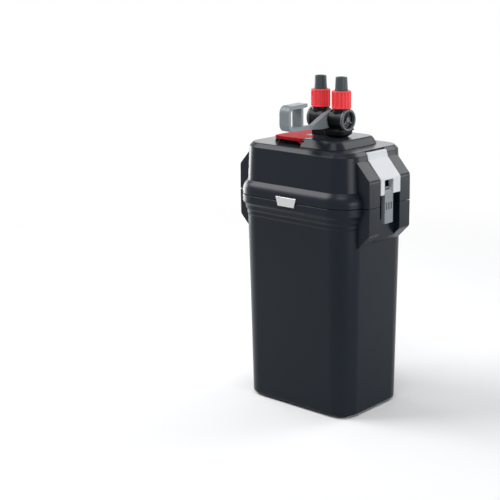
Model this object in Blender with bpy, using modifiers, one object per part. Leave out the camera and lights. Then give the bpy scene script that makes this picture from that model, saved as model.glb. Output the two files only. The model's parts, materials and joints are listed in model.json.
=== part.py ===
"""Canister filter for an aquarium, as an assembly of separate pieces.

Metres, +Z up.  The origin is on the floor under the middle of the canister.
+X is towards the right-hand clamp and -Y is the front, where the badge sits.
"""
import math

import bmesh
import bpy
from mathutils import Matrix, Vector

# ---------------------------------------------------------------- driving dimensions
GAP = 0.0003                 # what touching pieces keep between their meshes
RUN = 0.0005                 # clearance of pieces that slide or turn
ROUND = 24                   # sides of an ordinary round piece
SMALL_ROUND = 12             # sides of pins, screws and small bores
CORNER_STEPS = 5             # facets of one moulded corner

SEAM_Z = 0.306               # the joint line of head and canister
HALF_X = 0.0996              # head wall, half width at its foot
HALF_Y = 0.0719              # head wall, half depth at its foot
CORNER_R = 0.0326            # plan radius of the head wall
FLANGE_OUT = 0.0078          # how far the flange stands out from the wall
WALL = 0.0032                # moulded wall of head and canister

FLANGE_EDGE = 0.0086         # upright edge of the head's flange
FLANGE_RISE = 0.0207         # where the flange's slope meets the head wall
RIM_LOW = 0.0695             # lower edge of the rim's bevel
RIM_BEVEL = 0.0059           # height and width of the rim's bevel
HEAD_DRAFT = 0.00245         # the head wall leans in by this at the rim

CAN_LIP = 0.0090             # upright edge of the canister's flange
CAN_LEDGE = 0.0165           # lower end of the step under that edge
CAN_NECK = 0.0310            # where the plain canister wall begins
CAN_DRAFT = 0.0047           # the canister wall leans in by this at its foot
CAN_BASE_Z = 0.0025          # underside of the canister, on its feet
CAN_FLOOR = 0.0040           # thickness of its floor
CAN_SOFT = 0.0045            # rounding where wall and floor meet
PANEL_HIGH = 0.0010          # the floor's middle panel stands down by this between the feet
FOOT_R = 0.0090
FOOT_EDGE = 0.0008
FOOT_INSET_X = 0.024
FOOT_INSET_Y = 0.022

CLAMP_Y = 0.0                # middle of the clamps along Y
HOOK_Y = -0.0040             # middle of the hook and of the finger window
BULGE_OUT = 0.0204           # how far the side bulges stand out from the wall
BULGE_HALF = 0.0470          # half length of a bulge along Y
BULGE_SHOULDER = 0.0380      # the bulge's upright face ends here, above the seam
BULGE_TOP = 0.0630           # its sloped top meets the wall here
BULGE_LOW = 0.0374           # its upright face ends here, below the seam
BULGE_FOOT = 0.0580          # its sloped underside meets the wall here
CHANNEL_HALF = 0.0227        # half width of the channel that holds the clamp
CHANNEL_DEEP = 0.0100        # depth of that channel

CLAMP_FACE = 0.0010          # the lever stands out from the bulge by this
LEVER_THICK = 0.0036
LEVER_HALF = CHANNEL_HALF - RUN
LEVER_ARM_DEEP = 0.0085
LEVER_END = 0.0160           # the arms end here, above the seam
LEVER_KNEE = 0.0018          # the lever's knee stands out from the wall at the rim by this
WINDOW_TOP = 0.0366          # upper edge of the finger window
WINDOW_HALF = 0.0100         # half width of that window
HINGE_IN = 0.0036            # the clamp hinge lies this far in from the wall at the rim
HINGE_DOWN = 0.0004          # and this far under the foot of the rim's bevel
HINGE_R = 0.0040             # the lever's roll
RIDGE_R = 0.0046             # reach of the two ridges on the roll
HINGE_BLOCK = 0.0045         # wall beside and behind the roll's pocket
PIN_R = 0.0016
PIN_PLAY = 0.0002            # play of a bore that turns on its pin
PIN_FIT = 0.0001             # play of a bore that holds its pin

HOOK_HALF = 0.0093
HOOK_TOP = 0.0262
HOOK_SHOULDER = 0.0190
HOOK_END = 0.0255            # below the seam
HOOK_PIN_Z = 0.0222
HOOK_PIN_BACK = 0.0012       # the pegs lie this far behind the middle of the hook
HOOK_DEEP = 0.0062
HOOK_CHAMFER = 0.0010
SLOT_PITCH = 0.0054          # three slots in the hook's face
SLOT_HALF = 0.0013
SLOT_DEEP = 0.0020
SLOT_UP = 0.0045
SLOT_DOWN = 0.0055
TOE_HIGH = 0.0055
TOE_REACH = 0.0010           # the toe ends this far from the channel's floor
LUG_HIGH = 0.0090
LUG_OUT = 0.0038
TOE_GAP = 0.0008

PLAT_X = 0.0025              # middle of the raised platform
PLAT_HALF_X = 0.0645
PLAT_HALF_Y = 0.0530
PLAT_R = 0.0220
PLAT_RISE = 0.0106
PLAT_LEAN = 0.0068
PLAT_WALL = 0.0030

PRIMER_X = -0.0340           # pump axis
PRIMER_Y = -0.0140
PRIMER_TRAVEL = 0.0450
HANDLE_LEFT = -0.0530
HANDLE_FRONT = -0.0475
HANDLE_RIGHT = 0.0010        # right edge of the handle's front part
HANDLE_BACK = 0.0240
HANDLE_THICK = 0.0042
HANDLE_TAB = 0.0115
CYLINDER_R = 0.0150
CYLINDER_WALL = 0.0022
CYLINDER_PROUD = 0.0034      # the pump cylinder stands above the head's deck
CYLINDER_FLOOR = 0.0020
PUMP_INLET_R = 0.0040
PISTON_HIGH = 0.0080
ROD_R = 0.0035
FINGER_DEEP = 0.0162         # how far the finger room reaches in from the handle's front
FINGER_SIDE = 0.0115         # how far its open left side does

BOSS_INSET_X = 0.0200        # the screw bosses, in from the head's wall
BOSS_INSET_Y = 0.0220
BOSS_R = 0.0045
SCREW_R = 0.0015
SCREW_LONG = 0.0170
SCREW_HEAD_R = 0.0030
SCREW_HEAD_HIGH = 0.0020
GLAND_X = -0.0600
GLAND_UP = 0.0400            # above the seam
GLAND_R = 0.0090
GLAND_NECK_R = 0.0059
GLAND_BORE_R = 0.0035

VALVE_X = 0.0140
VALVE_Y = 0.0
BARREL_R = 0.0150
BARREL_WALL = 0.0027
BARREL_RING = 0.0008         # the outer end ring stands proud by this
BARREL_RING_LONG = 0.0046
BARREL_WEB = 0.0030          # the wall at a barrel's inner end
SADDLE_HALF = 0.0100
CAP_IN = 0.0060              # the spoked plug sits this far in from the barrel's end
CAP_THICK = 0.0020
CAP_HUB_R = 0.0036
SPOKE_HALF = 0.0009
BARREL_HALF_GAP = 0.0050     # half the gap between the barrels
BARREL_LONG = 0.0280
BASE_HIGH = 0.0093           # valve base under its flange
BASE_FLANGE = 0.0023
BOWL_HALF_X = 0.0185         # the bowl under the right barrel
BOWL_HALF_Y = 0.0165
BOWL_IN = 0.0060             # the bowl's middle lies this far left of the right port
NECK_HALF = 0.0090           # the neck under the left barrel
PORT_OUT = 0.0190            # each port from the middle of the valve
PORT_R = 0.0060
PIPE_WALL = 0.0018
SPIGOT_R = 0.0112
SPIGOT_HIGH = 0.0123         # above the top of the barrel
NUT_R = 0.0140
NUT_RIBS = 16
NUT_RIB_DEEP = 0.0008
NUT_HIGH = 0.0250
NUT_LIFT = 0.0013            # above the top of the barrel
NUT_CAP = 0.0047
CONNECTOR_LOW_R = 0.0094
CONNECTOR_TOP_R = 0.0082
CONNECTOR_HIGH = 0.0190      # above the nut

ARM_HALF = 0.0043            # valve lever: half width between the barrels
LOOP_HALF = 0.0085           # half width of its finger loop
HUB_R = 0.0125
SHAFT_R = 0.0050
LEVER_REACH = 0.1010         # from the valve's axis to the front of the loop
LOOP_LONG = 0.0390
LOOP_LOW = 0.0085            # loop's underside below the axis
LOOP_UP = 0.0275             # loop's top above the axis
LOOP_BAND = 0.0052
LOOP_BEND = 0.0100           # outer radius of the loop's front corners
LOOP_REAR = 0.0042           # thickness of the loop's rear member
LOOP_REAR_IN = 0.0080        # that member stands this far in from the loop's back end

PLATE_HIGH = 0.0040          # bulkhead plate
PLUG_DEEP = 0.0120
PLUG_WALL = 0.0030
SEAL_WIDE = 0.0024
SEAL_TOP = 0.0030            # below the seam
SEAL_HIGH = 0.0065
MOTOR_X = -0.0450
MOTOR_Y = 0.0300
MOTOR_R = 0.0275
MOTOR_WALL = 0.0022
MOTOR_HIGH = 0.0560
WELL_R = 0.0136
WELL_WALL = 0.0014
WELL_HIGH = 0.0420
WELL_FLANGE = 0.0016
STATOR_HIGH = 0.0260
WINDING_HIGH = 0.0097
WINDING_ROOM = 0.0030        # between the winding and the can
ROTOR_R = 0.0115
IMPELLER_R = 0.0170
IMPELLER_HIGH = 0.0085
VOLUTE_R = 0.0215
VOLUTE_DEEP = 0.0150
VOLUTE_WALL = 0.0024
SHAFT_PIN_R = 0.0015
BUSH_HIGH = 0.0040
BUSH_R = 0.0040
WHEEL_HUB_R = 0.0050
WHEEL_DISC = 0.0016
BLADE_HALF = 0.0007
BLADES = 6
COVER_HIGH = 0.0024
COVER_EYE_R = 0.0090
BRIDGE_HALF = 0.0020

BASKET_HALF_X = 0.0790
BASKET_HALF_Y = 0.0440
BASKET_Y = 0.0120
BASKET_R = 0.0120
BASKET_HIGH = 0.0840
BASKET_WALL = 0.0020
BASKET_COUNT = 3
BASKET_DRAFT = 0.0030        # a basket is narrower by this at its floor
BASKET_SLOTS = 7
SLOT_WIDE = 0.0060
LID_HIGH = 0.0030
BAIL_HALF = 0.0080           # half width of the lift-out handle
BAIL_THICK = 0.0024
BAIL_UP = 0.0200             # the handle's bar stands over the stack by this
BAIL_FOOT = 0.0100
FOAM_DEEP = 0.0200
FOAM_INSET = 0.0080          # the foam frame is narrower than the baskets by this
FRAME_WALL = 0.0024
MEDIA_EDGE = 0.0080          # the media bags' rounded edges
BAG_ROOM = 0.0080            # round the media bag
POUCH_ROOM = 0.0140          # round the carbon pouch
PAD_ROOM = 0.0050            # round the polishing pad
BAG_HIGH = 0.0500
POUCH_HIGH = 0.0350
PAD_HIGH = 0.0240
PAD_EDGE = 0.0030

BADGE_X = -0.0020
BADGE_HALF_TOP = 0.0186
BADGE_HALF_LOW = 0.0148
BADGE_UP = 0.0068
BADGE_DOWN = 0.0064
BADGE_THICK = 0.0010

# ---------------------------------------------------------------- derived values
TOP_Z = SEAM_Z + RIM_LOW + RIM_BEVEL           # top of the head's deck
PLAT_Z = TOP_Z + GAP + PLAT_RISE               # top of the platform
BULGE_X = HALF_X + BULGE_OUT
CHANNEL_X = BULGE_X - CHANNEL_DEEP
LEVER_X = BULGE_X + CLAMP_FACE
WALL_AT_RIM = HALF_X - HEAD_DRAFT
HINGE_X = WALL_AT_RIM - HINGE_IN
HINGE_Z = SEAM_Z + RIM_LOW - HINGE_DOWN
SHOULDER_Z = SEAM_Z + BULGE_SHOULDER + GAP
PIN_HALF = CHANNEL_HALF + HINGE_BLOCK / 2      # half length of a hinge pin
HOOK_PIN_X = LEVER_X - HOOK_DEEP / 2 - HOOK_PIN_BACK
VALVE_BASE_Z = PLAT_Z + GAP
FLANGE_TOP_Z = VALVE_BASE_Z + BASE_HIGH + BASE_FLANGE
AXIS_Z = VALVE_BASE_Z + BASE_HIGH + BARREL_R + GAP
BARREL_TOP_Z = AXIS_Z + BARREL_R
NUT_Z = BARREL_TOP_Z + NUT_LIFT
NUT_TOP_Z = NUT_Z + NUT_HIGH
SPIGOT_TOP_Z = BARREL_TOP_Z + SPIGOT_HIGH
PLATE_Z = SEAM_Z + GAP / 2
PIPE_R = PORT_R + PIPE_WALL
FLOOR_Z = CAN_BASE_Z + CAN_FLOOR
DECK_UNDER = TOP_Z - WALL
BOSS_X = HALF_X - BOSS_INSET_X
BOSS_Y = HALF_Y - BOSS_INSET_Y
GLAND_Z = SEAM_Z + GLAND_UP
PORTS = (VALVE_X - PORT_OUT, VALVE_X + PORT_OUT)

CORNERS = ((-1, -1), (1, -1), (-1, 1), (1, 1))

# ---------------------------------------------------------------- scene and helpers
for old in list(bpy.data.objects):
    bpy.data.objects.remove(old, do_unlink=True)

PARTS = bpy.data.collections.new("canister_filter")
CUTTERS = bpy.data.collections.new("cutters")
bpy.context.scene.collection.children.link(PARTS)
bpy.context.scene.collection.children.link(CUTTERS)

FINISHES = {
    "body": ((0.030, 0.036, 0.041), 0.42, 0.0),
    "dark": ((0.012, 0.013, 0.014), 0.50, 0.0),
    "lever": ((0.72, 0.74, 0.76), 0.38, 0.0),
    "grey": ((0.33, 0.35, 0.37), 0.42, 0.0),
    "slate": ((0.10, 0.12, 0.13), 0.45, 0.0),
    "red": ((0.62, 0.03, 0.035), 0.30, 0.0),
    "rubber": ((0.02, 0.02, 0.02), 0.80, 0.0),
    "steel": ((0.62, 0.62, 0.63), 0.28, 1.0),
    "badge": ((0.66, 0.67, 0.68), 0.35, 1.0),
    "foam": ((0.08, 0.09, 0.10), 0.95, 0.0),
    "media": ((0.70, 0.66, 0.58), 0.90, 0.0),
    "ceramic": ((0.85, 0.85, 0.83), 0.35, 0.0),
    "magnet": ((0.06, 0.06, 0.06), 0.55, 0.2),
    "copper": ((0.60, 0.28, 0.14), 0.35, 1.0),
}
MATERIALS = {}


def material(finish):
    """One Principled material for each finish, made when it is first asked for."""
    if finish not in MATERIALS:
        colour, rough, metal = FINISHES[finish]
        made = bpy.data.materials.new(finish)
        made.use_nodes = True
        shader = made.node_tree.nodes["Principled BSDF"]
        shader.inputs["Base Color"].default_value = (*colour, 1.0)
        shader.inputs["Roughness"].default_value = rough
        shader.inputs["Metallic"].default_value = metal
        MATERIALS[finish] = made
    return MATERIALS[finish]


def add(name, mesh, finish, place=(0, 0, 0), turn=None):
    """A named object; without a finish it is a cutter, kept as a wire guide."""
    obj = bpy.data.objects.new(name, mesh)
    obj.location = place
    if turn is not None:
        obj.rotation_euler = turn
    if finish is None:
        CUTTERS.objects.link(obj)
        obj.hide_render = True
        obj.display_type = 'WIRE'
    else:
        PARTS.objects.link(obj)
        mesh.materials.append(material(finish))
    return obj


def boolean(target, tool, operation):
    """A live EXACT Boolean, which the tool's object stays behind as a guide for."""
    step = target.modifiers.new(operation.lower() + "_" + tool.name, 'BOOLEAN')
    step.operation = operation
    step.object = tool
    step.solver = 'EXACT'
    return target


def cut(target, *tools):
    for tool in tools:
        boolean(target, tool, 'DIFFERENCE')
    return target


def fuse(target, *tools):
    for tool in tools:
        boolean(target, tool, 'UNION')
    return target


def smooth(obj):
    """Smooth shading with sharp edges kept at 40 degrees."""
    obj.data.shade_smooth()
    obj.data.set_sharp_from_angle(angle=math.radians(40))
    return obj


def box(name, low, high, finish=None, bevel=0.0):
    """A box from its two corners, with optional rounded edges."""
    low, high = Vector(low), Vector(high)
    mesh = bpy.data.meshes.new(name)
    work = bmesh.new()
    bmesh.ops.create_cube(work, size=1.0)
    bmesh.ops.scale(work, vec=high - low, verts=work.verts)
    work.to_mesh(mesh)
    work.free()
    obj = add(name, mesh, finish, (low + high) / 2)
    if bevel:
        edge = obj.modifiers.new("rounded_edges", 'BEVEL')
        edge.width = bevel
        edge.segments = 1
    return obj


TURNS = {'Z': (0, 0, 0), 'X': (0, math.pi / 2, 0), 'Y': (-math.pi / 2, 0, 0)}


def drum(name, radius, low, high, place, finish=None, sides=ROUND, along='Z'):
    """A plain cylinder along X, Y or Z between two heights on its own axis."""
    mesh = bpy.data.meshes.new(name)
    work = bmesh.new()
    bmesh.ops.create_cone(work, cap_ends=True, segments=sides, radius1=radius,
                          radius2=radius, depth=high - low)
    bmesh.ops.translate(work, vec=(0, 0, (low + high) / 2), verts=work.verts)
    work.to_mesh(mesh)
    work.free()
    obj = add(name, mesh, finish, place, TURNS[along])
    return smooth(obj) if finish else obj


def turned(name, profile, place, finish=None, sides=ROUND, along='Z'):
    """A profile of (radius, height) spun round its axis.

    The points run down the outer side first.  A profile that starts and ends
    on the axis makes a solid, and any other is closed into a ring.
    """
    mesh = bpy.data.meshes.new(name)
    points = [(radius, 0.0, height) for radius, height in profile]
    edges = [(i, i + 1) for i in range(len(points) - 1)]
    if profile[0][0] > 0 or profile[-1][0] > 0:
        edges.append((len(points) - 1, 0))
    mesh.from_pydata(points, edges, [])
    obj = add(name, mesh, finish, place, TURNS[along])
    spin = obj.modifiers.new("spin", 'SCREW')
    spin.axis = 'Z'
    spin.angle = 2 * math.pi
    spin.steps = sides
    spin.render_steps = sides
    spin.use_merge_vertices = True
    spin.merge_threshold = 0.00001
    spin.use_smooth_shade = True
    return obj


def tube(name, outer, inner, low, high, place, finish=None, sides=ROUND, along='Z'):
    """A plain ring or pipe."""
    profile = [(outer, high), (outer, low), (inner, low), (inner, high)]
    return turned(name, profile, place, finish, sides, along)


def plate(name, outline, low, high, plane='XY', finish=None):
    """A flat outline given thickness: a filled 2D curve, extruded and made a mesh.

    plane 'XY' stands along Z, 'XZ' along Y and 'YZ' along X, from low to high.
    """
    curve = bpy.data.curves.new(name + "_outline", 'CURVE')
    curve.dimensions = '2D'
    curve.fill_mode = 'BOTH'
    curve.extrude = (high - low) / 2
    line = curve.splines.new('POLY')
    line.points.add(len(outline) - 1)
    for point, (u, v) in zip(line.points, outline):
        point.co = (u, v, 0.0, 1.0)
    line.use_cyclic_u = True
    guide = bpy.data.objects.new(name + "_guide", curve)
    middle = (low + high) / 2
    if plane == 'XY':
        guide.matrix_world = Matrix.Translation((0, 0, middle))
    elif plane == 'XZ':
        guide.matrix_world = (Matrix.Translation((0, middle, 0))
                              @ Matrix.Rotation(math.pi / 2, 4, 'X'))
    else:
        guide.matrix_world = (Matrix.Translation((middle, 0, 0))
                              @ Matrix(((0, 0, 1, 0), (1, 0, 0, 0), (0, 1, 0, 0), (0, 0, 0, 1))))
    bpy.context.scene.collection.objects.link(guide)
    bpy.context.view_layer.update()
    graph = bpy.context.evaluated_depsgraph_get()
    mesh = bpy.data.meshes.new_from_object(guide.evaluated_get(graph))
    mesh.transform(guide.matrix_world)
    work = bmesh.new()
    work.from_mesh(mesh)
    bmesh.ops.remove_doubles(work, verts=work.verts, dist=0.00001)
    bmesh.ops.recalc_face_normals(work, faces=work.faces)
    work.to_mesh(mesh)
    work.free()
    mesh.materials.clear()
    bpy.data.objects.remove(guide, do_unlink=True)
    mesh.name = name
    return add(name, mesh, finish)


def plan(half_x, half_y, radius, centre=(0.0, 0.0)):
    """A rounded rectangle seen from above, counter-clockwise."""
    points = []
    for corner, (side_x, side_y) in enumerate(((1, 1), (-1, 1), (-1, -1), (1, -1))):
        for step in range(CORNER_STEPS + 1):
            angle = math.pi / 2 * (corner + step / CORNER_STEPS)
            points.append((centre[0] + side_x * (half_x - radius) + radius * math.cos(angle),
                           centre[1] + side_y * (half_y - radius) + radius * math.sin(angle)))
    return points


def moulding(name, rings, finish=None):
    """A loft through rings of equal count, capped at its first and last ring.

    A solid runs from its bottom ring to its top ring.  A tray runs up its
    outside, over its rim and down to its floor; a lid starts at its ceiling.
    """
    mesh = bpy.data.meshes.new(name)
    work = bmesh.new()
    loops = [[work.verts.new((x, y, z)) for x, y in points] for points, z in rings]
    count = len(loops[0])
    for below, above in zip(loops, loops[1:]):
        for i in range(count):
            j = (i + 1) % count
            work.faces.new((below[i], below[j], above[j], above[i]))
    work.faces.new(list(reversed(loops[0])))
    work.faces.new(loops[-1])
    work.to_mesh(mesh)
    work.free()
    obj = add(name, mesh, finish)
    return smooth(obj) if finish else obj


def shell_ring(offset, height):
    """The head's plan moved out by offset, at a height above the seam."""
    return (plan(HALF_X + offset, HALF_Y + offset, CORNER_R + offset), SEAM_Z + height)


def pivot(name, place):
    """An empty on a joint's axis, which carries the pieces that move there."""
    empty = bpy.data.objects.new(name, None)
    empty.location = place
    PARTS.objects.link(empty)
    return empty


def carry(empty, *pieces):
    for piece in pieces:
        piece.parent = empty
        piece.matrix_parent_inverse = Matrix.Translation(-empty.location)


def mirrored(outline, side):
    """An outline of (x, z) points, turned to the left side when side is -1."""
    return [(side * x, z) for x, z in outline]


# ---------------------------------------------------------------- canister
def bulge(name, outline, side, finish=None):
    return plate(name, mirrored(outline, side), CLAMP_Y - BULGE_HALF, CLAMP_Y + BULGE_HALF,
                 'XZ', finish)


def pillar_spans():
    """The two stretches along Y where a bulge is as deep as it gets."""
    inner, outer = CHANNEL_HALF + WALL, BULGE_HALF - WALL
    return ((CLAMP_Y - outer, CLAMP_Y - inner), (CLAMP_Y + inner, CLAMP_Y + outer))


def canister_case():
    """The deep vessel: flange, stepped neck, plain tapered wall and floor."""
    lip = -GAP / 2
    base = CAN_BASE_Z - SEAM_Z
    rings = [
        shell_ring(-CAN_DRAFT - CAN_SOFT, base + PANEL_HIGH),
        shell_ring(-CAN_DRAFT - CAN_SOFT / 4, base + PANEL_HIGH + CAN_SOFT / 2),
        shell_ring(-CAN_DRAFT, base + PANEL_HIGH + CAN_SOFT),
        shell_ring(0.0004, -CAN_NECK),
        shell_ring(0.0014, -CAN_NECK + 0.0050),
        shell_ring(0.0008, -CAN_NECK + 0.0100),
        shell_ring(FLANGE_OUT - 0.0038, -CAN_LEDGE),
        shell_ring(FLANGE_OUT - 0.0030, -CAN_LEDGE + 0.0040),
        shell_ring(FLANGE_OUT, -CAN_LIP),
        shell_ring(FLANGE_OUT, lip),
        shell_ring(-WALL, lip),
        shell_ring(-WALL, -CAN_NECK),
        shell_ring(-CAN_DRAFT - WALL, base + CAN_FLOOR + CAN_SOFT),
        shell_ring(-CAN_DRAFT - WALL - CAN_SOFT, base + CAN_FLOOR),
    ]
    case = moulding("canister_case", rings, "body")
    panel_x = HALF_X - FOOT_INSET_X - FOOT_R - 2 * PANEL_HIGH
    panel_y = HALF_Y - CAN_DRAFT - CAN_SOFT - 2 * PANEL_HIGH
    fuse(case, plate("base_panel", plan(panel_x, panel_y, CAN_SOFT), CAN_BASE_Z,
                     CAN_BASE_Z + CAN_FLOOR / 2))
    inside = HALF_X - WALL / 2
    for side, tag in ((1, "right"), (-1, "left")):
        outline = [(inside, SEAM_Z + lip), (BULGE_X, SEAM_Z + lip),
                   (BULGE_X, SEAM_Z - BULGE_LOW), (inside, SEAM_Z - BULGE_FOOT)]
        fuse(case, bulge("case_bulge_" + tag, outline, side))
        cut(case, box("case_channel_" + tag,
                      sorted_low(side * CHANNEL_X, side * (BULGE_X + 0.02),
                                 CLAMP_Y - CHANNEL_HALF, CLAMP_Y + CHANNEL_HALF,
                                 SEAM_Z - BULGE_FOOT - 0.02, SEAM_Z + 0.01),
                      sorted_high(side * CHANNEL_X, side * (BULGE_X + 0.02),
                                  CLAMP_Y - CHANNEL_HALF, CLAMP_Y + CHANNEL_HALF,
                                  SEAM_Z - BULGE_FOOT - 0.02, SEAM_Z + 0.01)))
        for number, (near, far) in enumerate(pillar_spans()):
            hollow = [(HALF_X + FLANGE_OUT + 0.0010, SEAM_Z + 0.01),
                      (BULGE_X - WALL, SEAM_Z + 0.01),
                      (BULGE_X - WALL, SEAM_Z - BULGE_LOW + WALL / 2),
                      (HALF_X + FLANGE_OUT + 0.0010, SEAM_Z - BULGE_LOW - 0.0035)]
            cut(case, plate("case_hollow_%s_%d" % (tag, number), mirrored(hollow, side),
                            near, far, 'XZ'))
        lug_top = SEAM_Z - HOOK_END + TOE_HIGH + TOE_GAP + LUG_HIGH
        lug = [(CHANNEL_X - WALL / 2, lug_top), (CHANNEL_X + TOE_REACH, lug_top),
               (CHANNEL_X + LUG_OUT, lug_top - LUG_HIGH / 2),
               (CHANNEL_X + LUG_OUT, lug_top - LUG_HIGH), (CHANNEL_X - WALL / 2, lug_top - LUG_HIGH)]
        fuse(case, plate("case_lug_" + tag, mirrored(lug, side), HOOK_Y - HOOK_HALF,
                         HOOK_Y + HOOK_HALF, 'XZ'))
    return case


def sorted_low(x0, x1, y0, y1, z0, z1):
    return (min(x0, x1), min(y0, y1), min(z0, z1))


def sorted_high(x0, x1, y0, y1, z0, z1):
    return (max(x0, x1), max(y0, y1), max(z0, z1))


def rubber_feet():
    """Four feet in the corners under the canister, numbered from the front left."""
    top = CAN_BASE_Z + PANEL_HIGH - GAP
    for number, (side_x, side_y) in enumerate(CORNERS, 1):
        turned("rubber_foot_%d" % number, [
            (0.0, top), (FOOT_R, top), (FOOT_R, FOOT_EDGE), (FOOT_R - FOOT_EDGE, 0.0), (0.0, 0.0)],
            (side_x * (HALF_X - FOOT_INSET_X), side_y * (HALF_Y - FOOT_INSET_Y), 0), "rubber", 16)


# ---------------------------------------------------------------- head
def lever_inside():
    """The inner line of a clamp lever, from its shoulder up to its roll."""
    return [(LEVER_X - LEVER_THICK - 0.0030, SHOULDER_Z + 0.0010),
            (WALL_AT_RIM - 0.0011, SEAM_Z + BULGE_TOP - LEVER_KNEE), (HINGE_X, HINGE_Z - HINGE_R)]


def head_housing():
    """The motor head's outer shell, with its side bulges, hinge pockets and bosses."""
    foot = GAP / 2
    rings = [
        shell_ring(-HEAD_DRAFT - RIM_BEVEL - 0.0030, RIM_LOW + RIM_BEVEL - WALL),
        shell_ring(-HEAD_DRAFT - WALL, RIM_LOW - 0.0020),
        shell_ring(-WALL, FLANGE_RISE),
        shell_ring(FLANGE_OUT - WALL, FLANGE_EDGE - 0.0015),
        shell_ring(FLANGE_OUT - WALL, foot),
        shell_ring(FLANGE_OUT, foot),
        shell_ring(FLANGE_OUT, FLANGE_EDGE),
        shell_ring(FLANGE_OUT - 0.0024, FLANGE_EDGE + 0.0052),
        shell_ring(0.0012, FLANGE_RISE - 0.0016),
        shell_ring(0.0, FLANGE_RISE),
        shell_ring(-HEAD_DRAFT, RIM_LOW),
        shell_ring(-HEAD_DRAFT - RIM_BEVEL, RIM_LOW + RIM_BEVEL),
    ]
    head = moulding("head_housing", rings, "body")
    inside = HALF_X - HEAD_DRAFT - WALL / 2
    for side, tag in ((1, "right"), (-1, "left")):
        outline = [(inside, SEAM_Z + FLANGE_RISE - 0.004), (HALF_X + FLANGE_OUT - WALL / 2, SEAM_Z + foot),
                   (BULGE_X, SEAM_Z + foot), (BULGE_X, SEAM_Z + BULGE_SHOULDER),
                   (HALF_X - HEAD_DRAFT, SEAM_Z + BULGE_TOP), (inside, SEAM_Z + BULGE_TOP)]
        fuse(head, bulge("head_bulge_" + tag, outline, side))
        block = [(HINGE_X - RIDGE_R - HINGE_BLOCK / 2, HINGE_Z - RIDGE_R - HINGE_BLOCK),
                 (inside, HINGE_Z - RIDGE_R - HINGE_BLOCK), (inside, HINGE_Z),
                 (HINGE_X - 0.0010, HINGE_Z + HINGE_R),
                 (HINGE_X - RIDGE_R - HINGE_BLOCK / 2, HINGE_Z + HINGE_R)]
        reach = CHANNEL_HALF + HINGE_BLOCK
        fuse(head, plate("hinge_block_" + tag, mirrored(block, side), CLAMP_Y - reach,
                         CLAMP_Y + reach, 'XZ'))
        far_x, far_z = BULGE_X + 0.02, TOP_Z + 0.01
        start, knee, roll = [(x - RUN, z - 0.8 * RUN) for x, z in lever_inside()]
        slope = (knee[1] - start[1]) / (knee[0] - start[0])
        channel = [(CHANNEL_X, SEAM_Z - 0.01), (far_x, SEAM_Z - 0.01), (far_x, far_z),
                   (HINGE_X - 0.0030, far_z), (HINGE_X - 0.0030, HINGE_Z + 0.0030), roll, knee,
                   (CHANNEL_X, start[1] + slope * (CHANNEL_X - start[0]))]
        cut(head, plate("head_channel_" + tag, mirrored(channel, side),
                        CLAMP_Y - CHANNEL_HALF, CLAMP_Y + CHANNEL_HALF, 'XZ'),
            drum("roll_pocket_" + tag, RIDGE_R + RUN, CLAMP_Y - CHANNEL_HALF, CLAMP_Y + CHANNEL_HALF,
                 (side * HINGE_X, 0, HINGE_Z), along='Y'))
        for number, (near, far) in enumerate(pillar_spans()):
            hollow = [(HALF_X + FLANGE_OUT + 0.0010, SEAM_Z - 0.01), (BULGE_X - WALL, SEAM_Z - 0.01),
                      (BULGE_X - WALL, SEAM_Z + BULGE_SHOULDER - WALL / 2),
                      (HALF_X + FLANGE_OUT + 0.0010, SEAM_Z + BULGE_SHOULDER + 0.0050)]
            cut(head, plate("head_hollow_%s_%d" % (tag, number), mirrored(hollow, side),
                            near, far, 'XZ'))
        cut(head, drum("pin_bore_" + tag, PIN_R + PIN_FIT, -PIN_HALF - GAP, PIN_HALF + GAP,
                       (side * HINGE_X, CLAMP_Y, HINGE_Z), sides=SMALL_ROUND, along='Y'))
    for side_x in (-1, 1):
        for side_y in (-1, 1):
            spot = (side_x * BOSS_X, side_y * BOSS_Y, 0)
            tag = "%d_%d" % (side_x, side_y)
            fuse(head, drum("boss_" + tag, BOSS_R, PLATE_Z + PLATE_HIGH + GAP, TOP_Z - WALL / 2,
                            spot, sides=SMALL_ROUND))
            cut(head, drum("boss_bore_" + tag, SCREW_R + PIN_FIT, PLATE_Z, PLATE_Z + SCREW_LONG + 0.0030,
                           spot, sides=SMALL_ROUND))
    for port in PORTS:
        cut(head, drum("deck_port_%d" % (port * 1000), PIPE_R + GAP, DECK_UNDER - 0.01, TOP_Z + 0.01,
                       (port, VALVE_Y, 0)))
    cut(head, drum("deck_pump_hole", CYLINDER_R + GAP, DECK_UNDER - 0.01, TOP_Z + 0.01,
                   (PRIMER_X, PRIMER_Y, 0)))
    cut(head, drum("gland_hole", GLAND_NECK_R + GAP, -0.01, 0.01, (GLAND_X, HALF_Y - WALL / 2, GLAND_Z),
                   sides=16, along='Y'))
    return head


def cord_gland():
    """The bush in the back wall that the mains lead goes through."""
    profile = [(GLAND_R - 0.0010, 0.0072), (GLAND_R, 0.0052), (GLAND_R, 0.0022), (GLAND_NECK_R, 0.0022),
               (GLAND_NECK_R, -0.0060), (GLAND_BORE_R, -0.0060), (GLAND_BORE_R, 0.0072)]
    return turned("cord_gland", profile, (GLAND_X, HALF_Y - 0.0009, GLAND_Z), "rubber", 16, 'Y')


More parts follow.
